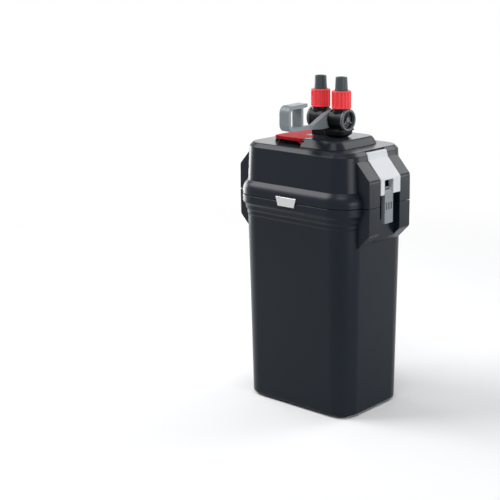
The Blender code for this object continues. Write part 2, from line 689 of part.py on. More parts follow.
def head_platform():
    """The raised cover on the head's deck, which carries valve and primer."""
    centre = (PLAT_X, 0.0)
    low = TOP_Z + GAP
    roof = PLAT_Z - PLAT_WALL
    rings = [
        (plan(PLAT_HALF_X - PLAT_LEAN - PLAT_WALL, PLAT_HALF_Y - PLAT_LEAN - PLAT_WALL,
              PLAT_R - PLAT_LEAN - PLAT_WALL, centre), roof),
        (plan(PLAT_HALF_X - PLAT_WALL, PLAT_HALF_Y - PLAT_WALL, PLAT_R - PLAT_WALL, centre), low),
        (plan(PLAT_HALF_X, PLAT_HALF_Y, PLAT_R, centre), low),
        (plan(PLAT_HALF_X - PLAT_LEAN * 0.85, PLAT_HALF_Y - PLAT_LEAN * 0.85,
              PLAT_R - PLAT_LEAN * 0.85, centre), PLAT_Z - 0.0016),
        (plan(PLAT_HALF_X - PLAT_LEAN - 0.0016, PLAT_HALF_Y - PLAT_LEAN - 0.0016,
              PLAT_R - PLAT_LEAN - 0.0016, centre), PLAT_Z),
    ]
    cover = moulding("head_platform", rings, "body")
    pocket_floor = PLAT_Z - HANDLE_THICK - GAP
    fuse(cover, box("pocket_block", (HANDLE_LEFT - 0.0018, HANDLE_FRONT - 0.0020, low + 0.0012),
                    (HANDLE_RIGHT + 0.0030, HANDLE_BACK + 0.0030, roof + 0.0010)))
    cut(cover, plate("handle_pocket", handle_outline(GAP), pocket_floor, PLAT_Z + 0.01))
    cut(cover, box("finger_recess", (HANDLE_LEFT + 0.0030, -PLAT_HALF_Y - 0.01, low - 0.01),
                   (HANDLE_RIGHT + GAP, HANDLE_FRONT + FINGER_DEEP, PLAT_Z + 0.0010)),
        box("finger_recess_side", (PLAT_X - PLAT_HALF_X - 0.01, -PLAT_HALF_Y - 0.01, low - 0.01),
            (HANDLE_LEFT + 0.0040, HANDLE_FRONT + FINGER_SIDE, PLAT_Z + 0.0010)))
    cut(cover, drum("rod_hole", ROD_R + RUN, low - 0.01, PLAT_Z + 0.01, (PRIMER_X, PRIMER_Y, 0),
                    sides=SMALL_ROUND))
    cut(cover, drum("pump_room", CYLINDER_R + GAP, low - 0.01, TOP_Z + CYLINDER_PROUD + GAP,
                    (PRIMER_X, PRIMER_Y, 0)))
    for port in PORTS:
        cut(cover, drum("cover_port_%d" % (port * 1000), PIPE_R + GAP, low - 0.01, PLAT_Z + 0.01,
                        (port, VALVE_Y, 0)))
    return cover


def handle_outline(grow):
    """The primer handle seen from above: a wide front and a narrower back."""
    left, right = HANDLE_LEFT - grow, HANDLE_RIGHT + grow
    front, back = HANDLE_FRONT - grow, HANDLE_BACK + grow
    step_x = VALVE_X - BARREL_HALF_GAP - BARREL_LONG - 0.0012 + grow
    step_y = VALVE_Y - BARREL_R - BARREL_RING - 0.0010 + grow
    return [(left + 0.004, front), (right, front), (right, step_y), (step_x, step_y),
            (step_x, back - 0.004), (step_x - 0.004, back), (left + 0.004, back),
            (left, back - 0.004), (left, front + 0.004)]


def primer_handle():
    """The red pull plate, its front tab and the hub that the rod screws into."""
    under = PLAT_Z - HANDLE_THICK
    handle = plate("primer_handle", handle_outline(0.0), under, PLAT_Z, 'XY', "red")
    tab = [(HANDLE_RIGHT - HANDLE_TAB, under + 0.0010), (HANDLE_RIGHT - 0.0006, under + 0.0010),
           (HANDLE_RIGHT - 0.0006, under - 0.0010), (HANDLE_RIGHT - 0.0040, TOP_Z + 0.0020)]
    fuse(handle, plate("handle_tab", tab, HANDLE_FRONT + 0.0006, HANDLE_FRONT + 0.0034, 'XZ'))
    return handle


def primer_pump():
    """Cylinder, rod and piston under the handle."""
    spot = (PRIMER_X, PRIMER_Y, 0)
    low = PLATE_Z + PLATE_HIGH + GAP
    high = TOP_Z + CYLINDER_PROUD
    bore = CYLINDER_R - CYLINDER_WALL
    profile = [(CYLINDER_R, high), (CYLINDER_R, low), (PUMP_INLET_R, low),
               (PUMP_INLET_R, low + CYLINDER_FLOOR), (bore, low + CYLINDER_FLOOR), (bore, high)]
    cylinder = turned("primer_cylinder", profile, spot, "slate")
    piston_top = high - PRIMER_TRAVEL - 0.0030
    piston = turned("primer_piston", [
        (ROD_R + GAP, piston_top), (bore - 0.0012, piston_top), (bore - GAP, piston_top - 0.0016),
        (bore - GAP, piston_top - PISTON_HIGH), (ROD_R + GAP, piston_top - PISTON_HIGH)],
        spot, "rubber", 20)
    rod = drum("primer_rod", ROD_R, piston_top - PISTON_HIGH - 0.001, PLAT_Z - HANDLE_THICK - GAP,
               spot, "slate", SMALL_ROUND)
    return cylinder, piston, rod


def bulkhead():
    """The plate that closes the head from below, with a plug in the canister's mouth."""
    side = -WALL - GAP - SEAL_WIDE - GAP
    rings = [
        shell_ring(side - PLUG_WALL, GAP / 2),
        shell_ring(side - PLUG_WALL, -PLUG_DEEP),
        shell_ring(side, -PLUG_DEEP),
        shell_ring(side, GAP / 2),
        shell_ring(FLANGE_OUT - WALL - GAP, GAP / 2),
        shell_ring(FLANGE_OUT - WALL - GAP, GAP / 2 + 0.6 * PLATE_HIGH),
        shell_ring(side, GAP / 2 + PLATE_HIGH),
    ]
    base = moulding("head_bulkhead", rings, "dark")
    low, high = SEAM_Z - 0.01, PLATE_Z + PLATE_HIGH + 0.01
    fuse(base, tube("volute_ring", VOLUTE_R + VOLUTE_WALL, VOLUTE_R, PLATE_Z - VOLUTE_DEEP,
                    PLATE_Z + PLATE_HIGH / 2, (MOTOR_X, MOTOR_Y, 0)))
    for port in PORTS:
        cut(base, drum("base_port_%d" % (port * 1000), PIPE_R + GAP, low, high, (port, VALVE_Y, 0)))
    cut(base, drum("base_rotor_hole", WELL_R - WELL_WALL, low, high, (MOTOR_X, MOTOR_Y, 0)))
    cut(base, drum("base_pump_hole", PUMP_INLET_R, low, high, (PRIMER_X, PRIMER_Y, 0), sides=SMALL_ROUND))
    for side_x in (-1, 1):
        for side_y in (-1, 1):
            cut(base, drum("base_screw_%d_%d" % (side_x, side_y), SCREW_R + PIN_PLAY, low, high,
                           (side_x * BOSS_X, side_y * BOSS_Y, 0), sides=SMALL_ROUND))
    return base


def ring_loft(name, outer, inner, low, high, finish):
    """A closed ring between two offsets of the head's plan."""
    mesh = bpy.data.meshes.new(name)
    work = bmesh.new()
    rings = [shell_ring(outer, low), shell_ring(outer, high), shell_ring(inner, high),
             shell_ring(inner, low)]
    loops = [[work.verts.new((x, y, z)) for x, y in points] for points, z in rings]
    count = len(loops[0])
    for k in range(4):
        here, there = loops[k], loops[(k + 1) % 4]
        for i in range(count):
            j = (i + 1) % count
            work.faces.new((here[i], here[j], there[j], there[i]))
    work.to_mesh(mesh)
    work.free()
    return smooth(add(name, mesh, finish))


def head_seal():
    outer = -WALL - GAP
    return ring_loft("head_seal", outer, outer - SEAL_WIDE, -SEAL_TOP - SEAL_HIGH, -SEAL_TOP, "rubber")


def head_screws():
    """Four screws that hold the bulkhead up against the head's bosses."""
    for number, (side_x, side_y) in enumerate(CORNERS, 1):
        turned("head_screw_%d" % number, [
            (0.0, SCREW_LONG), (SCREW_R, SCREW_LONG - 0.0010), (SCREW_R, 0.0), (SCREW_HEAD_R, 0.0),
            (SCREW_HEAD_R - 0.0004, -SCREW_HEAD_HIGH), (0.0, -SCREW_HEAD_HIGH)],
            (side_x * BOSS_X, side_y * BOSS_Y, PLATE_Z - GAP), "steel", SMALL_ROUND)


# ---------------------------------------------------------------- motor and impeller
def motor():
    """Motor can, stator, winding, rotor well and its flange."""
    spot = (MOTOR_X, MOTOR_Y, 0)
    low = PLATE_Z + PLATE_HIGH + GAP
    high = low + MOTOR_HIGH
    bore = MOTOR_R - MOTOR_WALL
    turned("motor_can", [(0.0, high), (MOTOR_R - 0.002, high), (MOTOR_R, high - 0.002), (MOTOR_R, low),
                         (bore, low), (bore, high - MOTOR_WALL), (0.0, high - MOTOR_WALL)],
           spot, "dark")
    well = WELL_R - WELL_WALL
    turned("rotor_well", [(0.0, low + WELL_HIGH), (WELL_R, low + WELL_HIGH), (WELL_R, low + WELL_FLANGE),
                          (bore - MOTOR_WALL, low + WELL_FLANGE), (bore - MOTOR_WALL, low), (well, low),
                          (well, low + WELL_HIGH - WELL_WALL), (0.0, low + WELL_HIGH - WELL_WALL)],
           spot, "slate")
    stator_low = low + WELL_FLANGE + GAP
    stator_high = stator_low + STATOR_HIGH
    tube("stator_core", bore - GAP, WELL_R + GAP, stator_low, stator_high, spot, "steel")
    tube("motor_winding", bore - WINDING_ROOM, WELL_R + WINDING_ROOM / 2, stator_high + GAP,
         stator_high + GAP + WINDING_HIGH, spot, "copper")


def impeller():
    """Magnet rotor, shaft, end bushes, impeller wheel and the volute's cover."""
    spot = (MOTOR_X, MOTOR_Y, 0)
    low = PLATE_Z + PLATE_HIGH + GAP
    ceiling = low + WELL_HIGH - WELL_WALL
    rotor_low, rotor_high = low - 0.0010, ceiling - GAP - BUSH_HIGH - RUN
    rotor = tube("impeller_rotor", ROTOR_R, SHAFT_PIN_R + GAP, rotor_low, rotor_high, spot, "magnet", 20)
    wheel_high = PLATE_Z - 0.0010
    wheel_low = wheel_high - IMPELLER_HIGH
    wheel = turned("impeller_wheel", [
        (WHEEL_HUB_R, rotor_low - GAP), (WHEEL_HUB_R, wheel_high), (IMPELLER_R, wheel_high),
        (IMPELLER_R, wheel_high - WHEEL_DISC), (WHEEL_HUB_R, wheel_high - WHEEL_DISC),
        (WHEEL_HUB_R, wheel_low), (SHAFT_PIN_R + GAP, wheel_low), (SHAFT_PIN_R + GAP, rotor_low - GAP)],
        spot, "grey", 20)
    for number in range(BLADES):
        angle = number * 2 * math.pi / BLADES
        blade = box("blade_%d" % number, (WHEEL_HUB_R - 0.0010, -BLADE_HALF, wheel_low),
                    (IMPELLER_R - 0.0006, BLADE_HALF, wheel_high - WHEEL_DISC / 2))
        blade.matrix_world = (Matrix.Translation((MOTOR_X, MOTOR_Y, 0)) @ Matrix.Rotation(angle, 4, 'Z')
                              @ Matrix.Translation(blade.location))
        fuse(wheel, blade)
    cover_z = PLATE_Z - VOLUTE_DEEP
    cover = turned("impeller_cover", [
        (VOLUTE_R + VOLUTE_WALL, cover_z - GAP), (VOLUTE_R + VOLUTE_WALL, cover_z - GAP - COVER_HIGH),
        (COVER_EYE_R, cover_z - GAP - COVER_HIGH), (COVER_EYE_R, cover_z - GAP)], spot, "slate")
    bridge = box("cover_bridge", (MOTOR_X - COVER_EYE_R - 0.0010, MOTOR_Y - BRIDGE_HALF,
                                  cover_z - GAP - COVER_HIGH),
                 (MOTOR_X + COVER_EYE_R + 0.0010, MOTOR_Y + BRIDGE_HALF, cover_z - 2 * GAP))
    fuse(cover, bridge)
    shaft_low = cover_z + 2 * GAP
    drum("impeller_shaft", SHAFT_PIN_R, shaft_low, ceiling - 0.0010, spot, "ceramic", SMALL_ROUND)
    tube("shaft_bush_upper", WELL_R - WELL_WALL - GAP, SHAFT_PIN_R + GAP, ceiling - GAP - BUSH_HIGH,
         ceiling - GAP, spot, "rubber", 16)
    tube("shaft_bush_lower", BUSH_R, SHAFT_PIN_R + GAP, cover_z, wheel_low - RUN, spot, "rubber", 16)
    carry(pivot("impeller_pivot", (MOTOR_X, MOTOR_Y, low)), rotor, wheel)


# ---------------------------------------------------------------- pipes and valve
def pipes():
    """Inlet and outlet pipes from the bulkhead to the valve, each with a collar on the plate."""
    low = SEAM_Z - PLUG_DEEP
    seat = PLATE_Z + PLATE_HIGH + GAP
    collar_r, collar_top = PIPE_R + 0.0025, seat + 0.0030
    for port, name in zip(PORTS, ("inlet_pipe", "outlet_pipe")):
        turned(name, [(PIPE_R, PLAT_Z), (PIPE_R, collar_top), (collar_r, collar_top), (collar_r, seat),
                      (PIPE_R, seat), (PIPE_R, low), (PORT_R, low), (PORT_R, PLAT_Z)],
               (port, VALVE_Y, 0), "slate", 20)


def valve_base():
    """The foot of the valve: a bowl and a neck, with a saddle under each barrel."""
    centre = (VALVE_X + PORT_OUT - BOWL_IN, VALVE_Y)
    step = VALVE_BASE_Z + BASE_HIGH
    rings = [
        (plan(BOWL_HALF_X - 0.0060, BOWL_HALF_Y - 0.0050, 0.0070, centre), VALVE_BASE_Z),
        (plan(BOWL_HALF_X - 0.0012, BOWL_HALF_Y - 0.0012, 0.0080, centre), VALVE_BASE_Z + 0.0040),
        (plan(BOWL_HALF_X - 0.0006, BOWL_HALF_Y - 0.0006, 0.0080, centre), step),
        (plan(BOWL_HALF_X, BOWL_HALF_Y, 0.0050, centre), step),
        (plan(BOWL_HALF_X, BOWL_HALF_Y, 0.0050, centre), FLANGE_TOP_Z - 0.0006),
        (plan(BOWL_HALF_X - 0.0006, BOWL_HALF_Y - 0.0006, 0.0044, centre), FLANGE_TOP_Z),
    ]
    base = moulding("valve_base", rings, "dark")
    fuse(base, box("neck_block", (PORTS[0] - NECK_HALF, VALVE_Y - NECK_HALF, VALVE_BASE_Z),
                   (centre[0], VALVE_Y + NECK_HALF, step + 0.0010)))
    for side, tag in ((-1, "left"), (1, "right")):
        near, far = sorted((side * (BARREL_HALF_GAP + 0.0010),
                            side * (BARREL_HALF_GAP + BARREL_LONG - CAP_IN)))
        fuse(base, box("saddle_" + tag, (VALVE_X + near, VALVE_Y - SADDLE_HALF, step - 0.0010),
                       (VALVE_X + far, VALVE_Y + SADDLE_HALF, AXIS_Z - 0.0080)))
    reach = BARREL_HALF_GAP + BARREL_LONG
    cut(base, drum("saddle_cut", BARREL_R + GAP, -reach - 0.01, reach + 0.01,
                   (VALVE_X, VALVE_Y, AXIS_Z), along='X'))
    cut(base, drum("ring_relief", BARREL_R + BARREL_RING + GAP, reach - BARREL_RING_LONG - GAP, reach + 0.01,
                   (VALVE_X, VALVE_Y, AXIS_Z), along='X'))
    for port in PORTS:
        cut(base, drum("valve_port_%d" % (port * 1000), PORT_R, VALVE_BASE_Z - 0.01, AXIS_Z,
                       (port, VALVE_Y, 0), sides=16))
    return base


def valve_barrel(side, tag):
    """One valve body: a barrel along X with a threaded spigot on top."""
    inner_end, outer_end = BARREL_HALF_GAP, BARREL_HALF_GAP + BARREL_LONG
    bore = BARREL_R - BARREL_WALL
    ring = BARREL_R + BARREL_RING
    profile = [(ring - 0.0006, outer_end), (ring, outer_end - 0.0006),
               (ring, outer_end - BARREL_RING_LONG + 0.0006), (BARREL_R, outer_end - BARREL_RING_LONG),
               (BARREL_R, inner_end + 0.0010), (BARREL_R - 0.0010, inner_end), (SHAFT_R + GAP, inner_end),
               (SHAFT_R + GAP, inner_end + BARREL_WEB), (bore, inner_end + BARREL_WEB), (bore, outer_end)]
    if side < 0:
        profile = [(r, -h) for r, h in reversed(profile)]
    centre = (VALVE_X, VALVE_Y, AXIS_Z)
    barrel = turned("valve_barrel_" + tag, profile, centre, "dark", ROUND, 'X')
    port = VALVE_X + side * PORT_OUT
    spot = (port, VALVE_Y, 0)
    fuse(barrel, tube("spigot_" + tag, SPIGOT_R, PORT_R + 0.0006, AXIS_Z + BARREL_R - BARREL_WALL / 2,
                      SPIGOT_TOP_Z, spot, None, 20))
    cut(barrel, drum("barrel_bore_up_" + tag, PORT_R, AXIS_Z, SPIGOT_TOP_Z + 0.01, spot, sides=16))
    cut(barrel, drum("barrel_bore_down_" + tag, PORT_R, AXIS_Z - BARREL_R - 0.01, AXIS_Z, spot, sides=16))
    return barrel


def valve_cap(side, tag):
    """The spoked plug in the outer end of a barrel."""
    outer_end = BARREL_HALF_GAP + BARREL_LONG
    bore = BARREL_R - BARREL_WALL
    back = outer_end - CAP_IN
    face = back + CAP_THICK
    low, high = (back, face) if side > 0 else (-face, -back)
    centre = (VALVE_X, VALVE_Y, AXIS_Z)
    cap = drum("valve_cap_" + tag, bore - GAP, low, high, centre, "dark", ROUND, 'X')
    proud = (face - 0.0005, face + 0.0022) if side > 0 else (-face - 0.0022, -face + 0.0005)
    fuse(cap, drum("cap_hub_" + tag, CAP_HUB_R, proud[0], proud[1], centre, sides=SMALL_ROUND, along='X'))
    near = VALVE_X + side * (face - 0.0005)
    far = VALVE_X + side * (face + 0.0016)
    for number in range(3):
        half = abs(far - near) / 2
        spoke = box("cap_spoke_%s_%d" % (tag, number), (-half, -SPOKE_HALF, 0.0),
                    (half, SPOKE_HALF, bore - 0.0022))
        spoke.matrix_world = (Matrix.Translation(((near + far) / 2, VALVE_Y, AXIS_Z))
                              @ Matrix.Rotation(number * 2 * math.pi / 3, 4, 'X')
                              @ Matrix.Translation(spoke.location))
        fuse(cap, spoke)
    return cap


def valve_rotor(side, tag):
    """The plug that opens and shuts one port, with a stub shaft to the lever."""
    bore = BARREL_R - BARREL_WALL
    start = BARREL_HALF_GAP + BARREL_WEB + GAP
    end = BARREL_HALF_GAP + BARREL_LONG - CAP_IN - GAP
    profile = [(0.0, end), (bore - GAP, end), (bore - GAP, start), (SHAFT_R, start),
               (SHAFT_R, ARM_HALF + GAP), (0.0, ARM_HALF + GAP)]
    if side < 0:
        profile = [(r, -h) for r, h in reversed(profile)]
    rotor = turned("valve_rotor_" + tag, profile, (VALVE_X, VALVE_Y, AXIS_Z), "slate", ROUND, 'X')
    cut(rotor, drum("rotor_bore_" + tag, PORT_R, AXIS_Z - BARREL_R, AXIS_Z + BARREL_R,
                    (VALVE_X + side * PORT_OUT, VALVE_Y, 0), sides=16))
    return rotor


def arc(centre, radius, start, end, steps):
    """Points of an arc in degrees, its ends included."""
    points = []
    for step in range(steps + 1):
        angle = math.radians(start + (end - start) * step / steps)
        points.append((centre[0] + radius * math.cos(angle), centre[1] + radius * math.sin(angle)))
    return points


def valve_lever():
    """Hub and gusset between the barrels, and the finger loop in front."""
    front, back = VALVE_Y - LEVER_REACH, VALVE_Y - LEVER_REACH + LOOP_LONG
    low, high = AXIS_Z - LOOP_LOW, AXIS_Z + LOOP_UP
    hub_low = AXIS_Z - HUB_R
    gusset = [(VALVE_Y, hub_low)] + arc((VALVE_Y, AXIS_Z), HUB_R, -60, 120, 8) + [
        (VALVE_Y - HUB_R - 0.0040, AXIS_Z + 0.0080), (VALVE_Y - 0.0440, AXIS_Z - 0.0050),
        (back - 0.0020, low + LOOP_BAND), (back - 0.0020, low), (VALVE_Y - 0.0300, AXIS_Z - 0.0122)]
    lever = plate("valve_lever", gusset, VALVE_X - ARM_HALF, VALVE_X + ARM_HALF, 'YZ', "grey")
    bend_y, bend_low, bend_high = front + LOOP_BEND, low + LOOP_BEND, high - LOOP_BEND
    outer = (arc((bend_y, bend_low), LOOP_BEND, 270, 180, 4)
             + arc((bend_y, bend_high), LOOP_BEND, 180, 90, 4)
             + [(back + 0.0010, high + 0.0006), (back + 0.0010, high - LOOP_BAND + 0.0012)])
    inner_bend = LOOP_BEND - LOOP_BAND
    inner = (arc((bend_y, bend_high), inner_bend, 90, 180, 3)
             + arc((bend_y, bend_low), inner_bend, 180, 270, 3))
    rear_out, rear_in = back - LOOP_REAR_IN, back - LOOP_REAR_IN - LOOP_REAR
    loop = outer + [(rear_out, high - LOOP_BAND), (rear_out, low + LOOP_BAND),
                    (back + 0.0060, low + LOOP_BAND - 0.0012), (back + 0.0060, low)]
    hole = inner + [(rear_in, low + LOOP_BAND), (rear_in, high - LOOP_BAND)]
    fuse(lever, plate("lever_loop", loop, VALVE_X - LOOP_HALF, VALVE_X + LOOP_HALF, 'YZ'))
    cut(lever, plate("lever_hole", hole, VALVE_X - LOOP_HALF - 0.01, VALVE_X + LOOP_HALF + 0.01, 'YZ'))
    return lever


def lock_nut(side, tag):
    """A ribbed union nut that holds a hose connector down on its spigot."""
    port = VALVE_X + side * PORT_OUT
    outline = []
    for rib in range(NUT_RIBS):
        for share, radius in ((0.0, NUT_R - NUT_RIB_DEEP), (0.28, NUT_R), (0.72, NUT_R)):
            angle = 2 * math.pi * (rib + share) / NUT_RIBS
            outline.append((radius * math.cos(angle), radius * math.sin(angle)))

    def scaled(factor):
        return [(port + x * factor, VALVE_Y + y * factor) for x, y in outline]

    rings = [(scaled(0.97), NUT_Z), (scaled(1.0), NUT_Z + 0.0010), (scaled(1.0), NUT_TOP_Z - 0.0022),
             (scaled(0.97), NUT_TOP_Z - 0.0008), (scaled(0.90), NUT_TOP_Z)]
    nut = moulding("lock_nut_" + tag, rings, "red")
    cut(nut, drum("nut_bore_" + tag, SPIGOT_R + RUN, NUT_Z - 0.01, NUT_TOP_Z - NUT_CAP,
                  (port, VALVE_Y, 0), sides=20))
    cut(nut, drum("nut_mouth_" + tag, CONNECTOR_LOW_R + RUN, NUT_Z, NUT_TOP_Z + 0.01,
                  (port, VALVE_Y, 0), sides=20))
    carry(pivot("lock_nut_pivot_" + tag, (port, VALVE_Y, NUT_Z)), nut)
    return nut


def hose_connector(side, tag):
    """The tapered grey stem that the hose is pushed on, flanged under the nut."""
    port = VALVE_X + side * PORT_OUT
    top = NUT_TOP_Z + CONNECTOR_HIGH
    flange_top = NUT_TOP_Z - NUT_CAP - GAP
    flange_low = SPIGOT_TOP_Z + GAP
    profile = [(CONNECTOR_TOP_R - 0.0005, top), (CONNECTOR_TOP_R, top - 0.0006),
               (CONNECTOR_LOW_R, NUT_TOP_Z - 0.0010), (CONNECTOR_LOW_R, flange_top),
               (SPIGOT_R - 0.0002, flange_top), (SPIGOT_R - 0.0002, flange_low),
               (PORT_R, flange_low), (PORT_R, top)]
    turned("hose_connector_" + tag, profile, (port, VALVE_Y, 0), "slate", 20)


# ---------------------------------------------------------------- clamps
def clamp(side, tag):
    """Lever, hook and hinge pin of one clamp, closed."""
    low, high = CLAMP_Y - LEVER_HALF, CLAMP_Y + LEVER_HALF
    deep = LEVER_X - LEVER_ARM_DEEP
    skin = [(HINGE_X + 0.0008, HINGE_Z + RIDGE_R - GAP), (HINGE_X + RIDGE_R - GAP, HINGE_Z - 0.0012),
            (WALL_AT_RIM + LEVER_KNEE, SEAM_Z + BULGE_TOP), (LEVER_X, SHOULDER_Z),
            (LEVER_X, SEAM_Z + LEVER_END), (deep, SEAM_Z + LEVER_END), (deep, SHOULDER_Z - 0.0040)]
    lever = plate("clamp_lever_" + tag, mirrored(skin + lever_inside(), side), low, high, 'XZ', "lever")
    between = [(deep - 0.01, SEAM_Z), (LEVER_X + 0.01, SEAM_Z), (LEVER_X + 0.01, SEAM_Z + WINDOW_TOP),
               (LEVER_X - LEVER_THICK, SEAM_Z + WINDOW_TOP),
               (LEVER_X - LEVER_THICK, SHOULDER_Z - 0.0010), (deep - 0.01, SHOULDER_Z + 0.0050)]
    cut(lever, plate("lever_window_" + tag, mirrored(between, side), HOOK_Y - WINDOW_HALF,
                     HOOK_Y + WINDOW_HALF, 'XZ'))
    fuse(lever, drum("lever_roll_" + tag, HINGE_R, low + GAP, high - GAP,
                     (side * HINGE_X, 0, HINGE_Z), sides=16, along='Y'))
    cut(lever, drum("lever_roll_bore_" + tag, PIN_R + PIN_PLAY, -0.04, 0.04,
                    (side * HINGE_X, CLAMP_Y, HINGE_Z), sides=SMALL_ROUND, along='Y'))
    for end in (-1, 1):
        near, far = sorted((HOOK_Y + end * (HOOK_HALF - 0.0030), CLAMP_Y + end * (LEVER_HALF - 0.0020)))
        fuse(lever, drum("lever_peg_%s_%d" % (tag, end), PIN_R, near, far,
                         (side * HOOK_PIN_X, 0, SEAM_Z + HOOK_PIN_Z), sides=SMALL_ROUND, along='Y'))

    face = LEVER_X
    back = face - HOOK_DEEP
    end = SEAM_Z - HOOK_END
    toe = CHANNEL_X + TOE_REACH
    outline = [(back + 0.0008, SEAM_Z + HOOK_TOP), (face, SEAM_Z + HOOK_SHOULDER), (face, end + HOOK_CHAMFER),
               (face - HOOK_CHAMFER, end), (toe, end), (toe, end + TOE_HIGH),
               (back, end + TOE_HIGH), (back, SEAM_Z + HOOK_TOP - 0.0020)]
    hook = plate("clamp_hook_" + tag, mirrored(outline, side), HOOK_Y - HOOK_HALF, HOOK_Y + HOOK_HALF,
                 'XZ', "grey")
    for number in (-1, 0, 1):
        middle = HOOK_Y + number * SLOT_PITCH
        near, far = sorted((side * (face - SLOT_DEEP), side * (face + 0.01)))
        cut(hook, box("hook_slot_%s_%d" % (tag, number), (near, middle - SLOT_HALF, SEAM_Z - SLOT_DOWN),
                      (far, middle + SLOT_HALF, SEAM_Z + SLOT_UP)))
    cut(hook, drum("hook_bore_" + tag, PIN_R + PIN_PLAY, -0.04, 0.04,
                   (side * HOOK_PIN_X, HOOK_Y, SEAM_Z + HOOK_PIN_Z), sides=SMALL_ROUND, along='Y'))
    drum("clamp_pin_" + tag, PIN_R, CLAMP_Y - PIN_HALF, CLAMP_Y + PIN_HALF,
         (side * HINGE_X, 0, HINGE_Z), "steel", SMALL_ROUND, 'Y')
    carry(pivot("clamp_pivot_" + tag, (side * HINGE_X, CLAMP_Y, HINGE_Z)), lever)
    carry(pivot("hook_pivot_" + tag, (side * HOOK_PIN_X, HOOK_Y, SEAM_Z + HOOK_PIN_Z)), hook)


# ---------------------------------------------------------------- badge, baskets, media
def badge():
    """The bare brushed plate on the front of the flange, across the seam."""
    high, low = SEAM_Z + BADGE_UP, SEAM_Z - BADGE_DOWN
    outline = [(BADGE_X - BADGE_HALF_TOP, high), (BADGE_X - BADGE_HALF_LOW, low),
               (BADGE_X + BADGE_HALF_LOW, low), (BADGE_X + BADGE_HALF_TOP, high)]
    face = -HALF_Y - FLANGE_OUT - GAP
    return plate("badge_plate", outline, face - BADGE_THICK, face, 'XZ', "badge")


def basket_plan(inset):
    """A basket's plan, drawn in by inset."""
    return plan(BASKET_HALF_X - inset, BASKET_HALF_Y - inset, BASKET_R - inset, (0.0, BASKET_Y))


def slotted(target, name, z):
    """Cut the row of water slots through a basket's floor or lid."""
    pitch = 2 * BASKET_HALF_X / (BASKET_SLOTS + 1)
    half = BASKET_HALF_Y - BASKET_R
    for slot in range(BASKET_SLOTS):
        x = (slot - (BASKET_SLOTS - 1) / 2) * pitch
        cut(target, box("%s_slot_%d" % (name, slot), (x - SLOT_WIDE / 2, BASKET_Y - half, z - 0.01),
                        (x + SLOT_WIDE / 2, BASKET_Y + half, z + 0.01)))
    return target


def baskets():
    """Three stacked media baskets with slotted floors, a slotted lid and one lift-out handle."""
    z = FLOOR_Z + GAP
    for number in range(1, BASKET_COUNT + 1):
        name = "media_basket_%d" % number
        rings = [(basket_plan(BASKET_DRAFT), z), (basket_plan(0.0), z + BASKET_HIGH),
                 (basket_plan(BASKET_WALL), z + BASKET_HIGH),
                 (basket_plan(BASKET_DRAFT + BASKET_WALL), z + BASKET_WALL)]
        slotted(moulding(name, rings, "slate"), name, z)
        z += BASKET_HIGH + GAP
    rings = [(basket_plan(0.0), z), (basket_plan(0.0010), z + LID_HIGH)]
    slotted(moulding("basket_lid", rings, "slate"), "basket_lid", z)
    top = z + BAIL_UP
    foot = FLOOR_Z + BAIL_FOOT
    inner, outer = BASKET_HALF_X + GAP, BASKET_HALF_X + GAP + BAIL_THICK
    bail = [(inner, foot), (outer, foot), (outer, top), (-outer, top), (-outer, foot), (-inner, foot),
            (-inner, top - BAIL_THICK), (inner, top - BAIL_THICK)]
    plate("basket_handle", bail, BASKET_Y - BAIL_HALF, BASKET_Y + BAIL_HALF, 'XZ', "red")


def foam_stage():
    """The foam frame in front of the baskets and its pad."""
    front = BASKET_Y - BASKET_HALF_Y - GAP - FOAM_DEEP
    back = front + FOAM_DEEP
    low, high = FLOOR_Z + GAP, FLOOR_Z + GAP + BASKET_COUNT * (BASKET_HIGH + GAP)
    half = BASKET_HALF_X - FOAM_INSET
    frame = box("foam_frame", (-half, front, low), (half, back, high), "slate")
    room = half - FRAME_WALL
    cut(frame, box("foam_room", (-room, front - 0.01, low + FRAME_WALL),
                   (room, back - FRAME_WALL, high - FRAME_WALL)))
    box("foam_pad", (-room + GAP, front, low + FRAME_WALL + GAP),
        (room - GAP, back - FRAME_WALL - GAP, high - FRAME_WALL - GAP), "foam")


def media():
    """A bag of ceramic media, a carbon pouch and a polishing pad, one to a basket."""
    z = FLOOR_Z + GAP + BASKET_WALL + GAP
    inside_x = BASKET_HALF_X - BASKET_DRAFT - BASKET_WALL
    inside_y = BASKET_HALF_Y - BASKET_DRAFT - BASKET_WALL
    for name, room, high, finish, edge in (
            ("ceramic_media_bag", BAG_ROOM, BAG_HIGH, "media", MEDIA_EDGE),
            ("carbon_pouch", POUCH_ROOM, POUCH_HIGH, "foam", MEDIA_EDGE),
            ("polishing_pad", PAD_ROOM, PAD_HIGH, "ceramic", PAD_EDGE)):
        half_x, half_y = inside_x - room, inside_y - room / 2
        box(name, (-half_x, BASKET_Y - half_y, z), (half_x, BASKET_Y + half_y, z + high), finish, edge)
        z += BASKET_HIGH + GAP


def build():
    canister_case()
    rubber_feet()
    head_housing()
    cord_gland()
    head_platform()
    handle = primer_handle()
    _, piston, rod = primer_pump()
    carry(pivot("primer_pivot", (PRIMER_X, PRIMER_Y, PLAT_Z)), handle, piston, rod)
    bulkhead()
    head_seal()
    head_screws()
    motor()
    impeller()
    pipes()
    valve_base()
    lever = valve_lever()
    moving = [lever]
    for side, tag in ((-1, "left"), (1, "right")):
        valve_barrel(side, tag)
        valve_cap(side, tag)
        moving.append(valve_rotor(side, tag))
        lock_nut(side, tag)
        hose_connector(side, tag)
        clamp(side, tag)
    carry(pivot("valve_pivot", (VALVE_X, VALVE_Y, AXIS_Z)), *moving)
    badge()
    baskets()
    foam_stage()
    media()


build()
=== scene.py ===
# %% [markdown]
# # A canister filter, dressed
#
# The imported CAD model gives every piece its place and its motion.  This lesson
# puts finer surfaces over the main pieces that show, gives every piece a
# procedural finish, and sets up a plain studio.  It starts by loading the model,
# and keeps its box, because the dressed filter has to stay inside it.

# %% Load the model
import json
import math

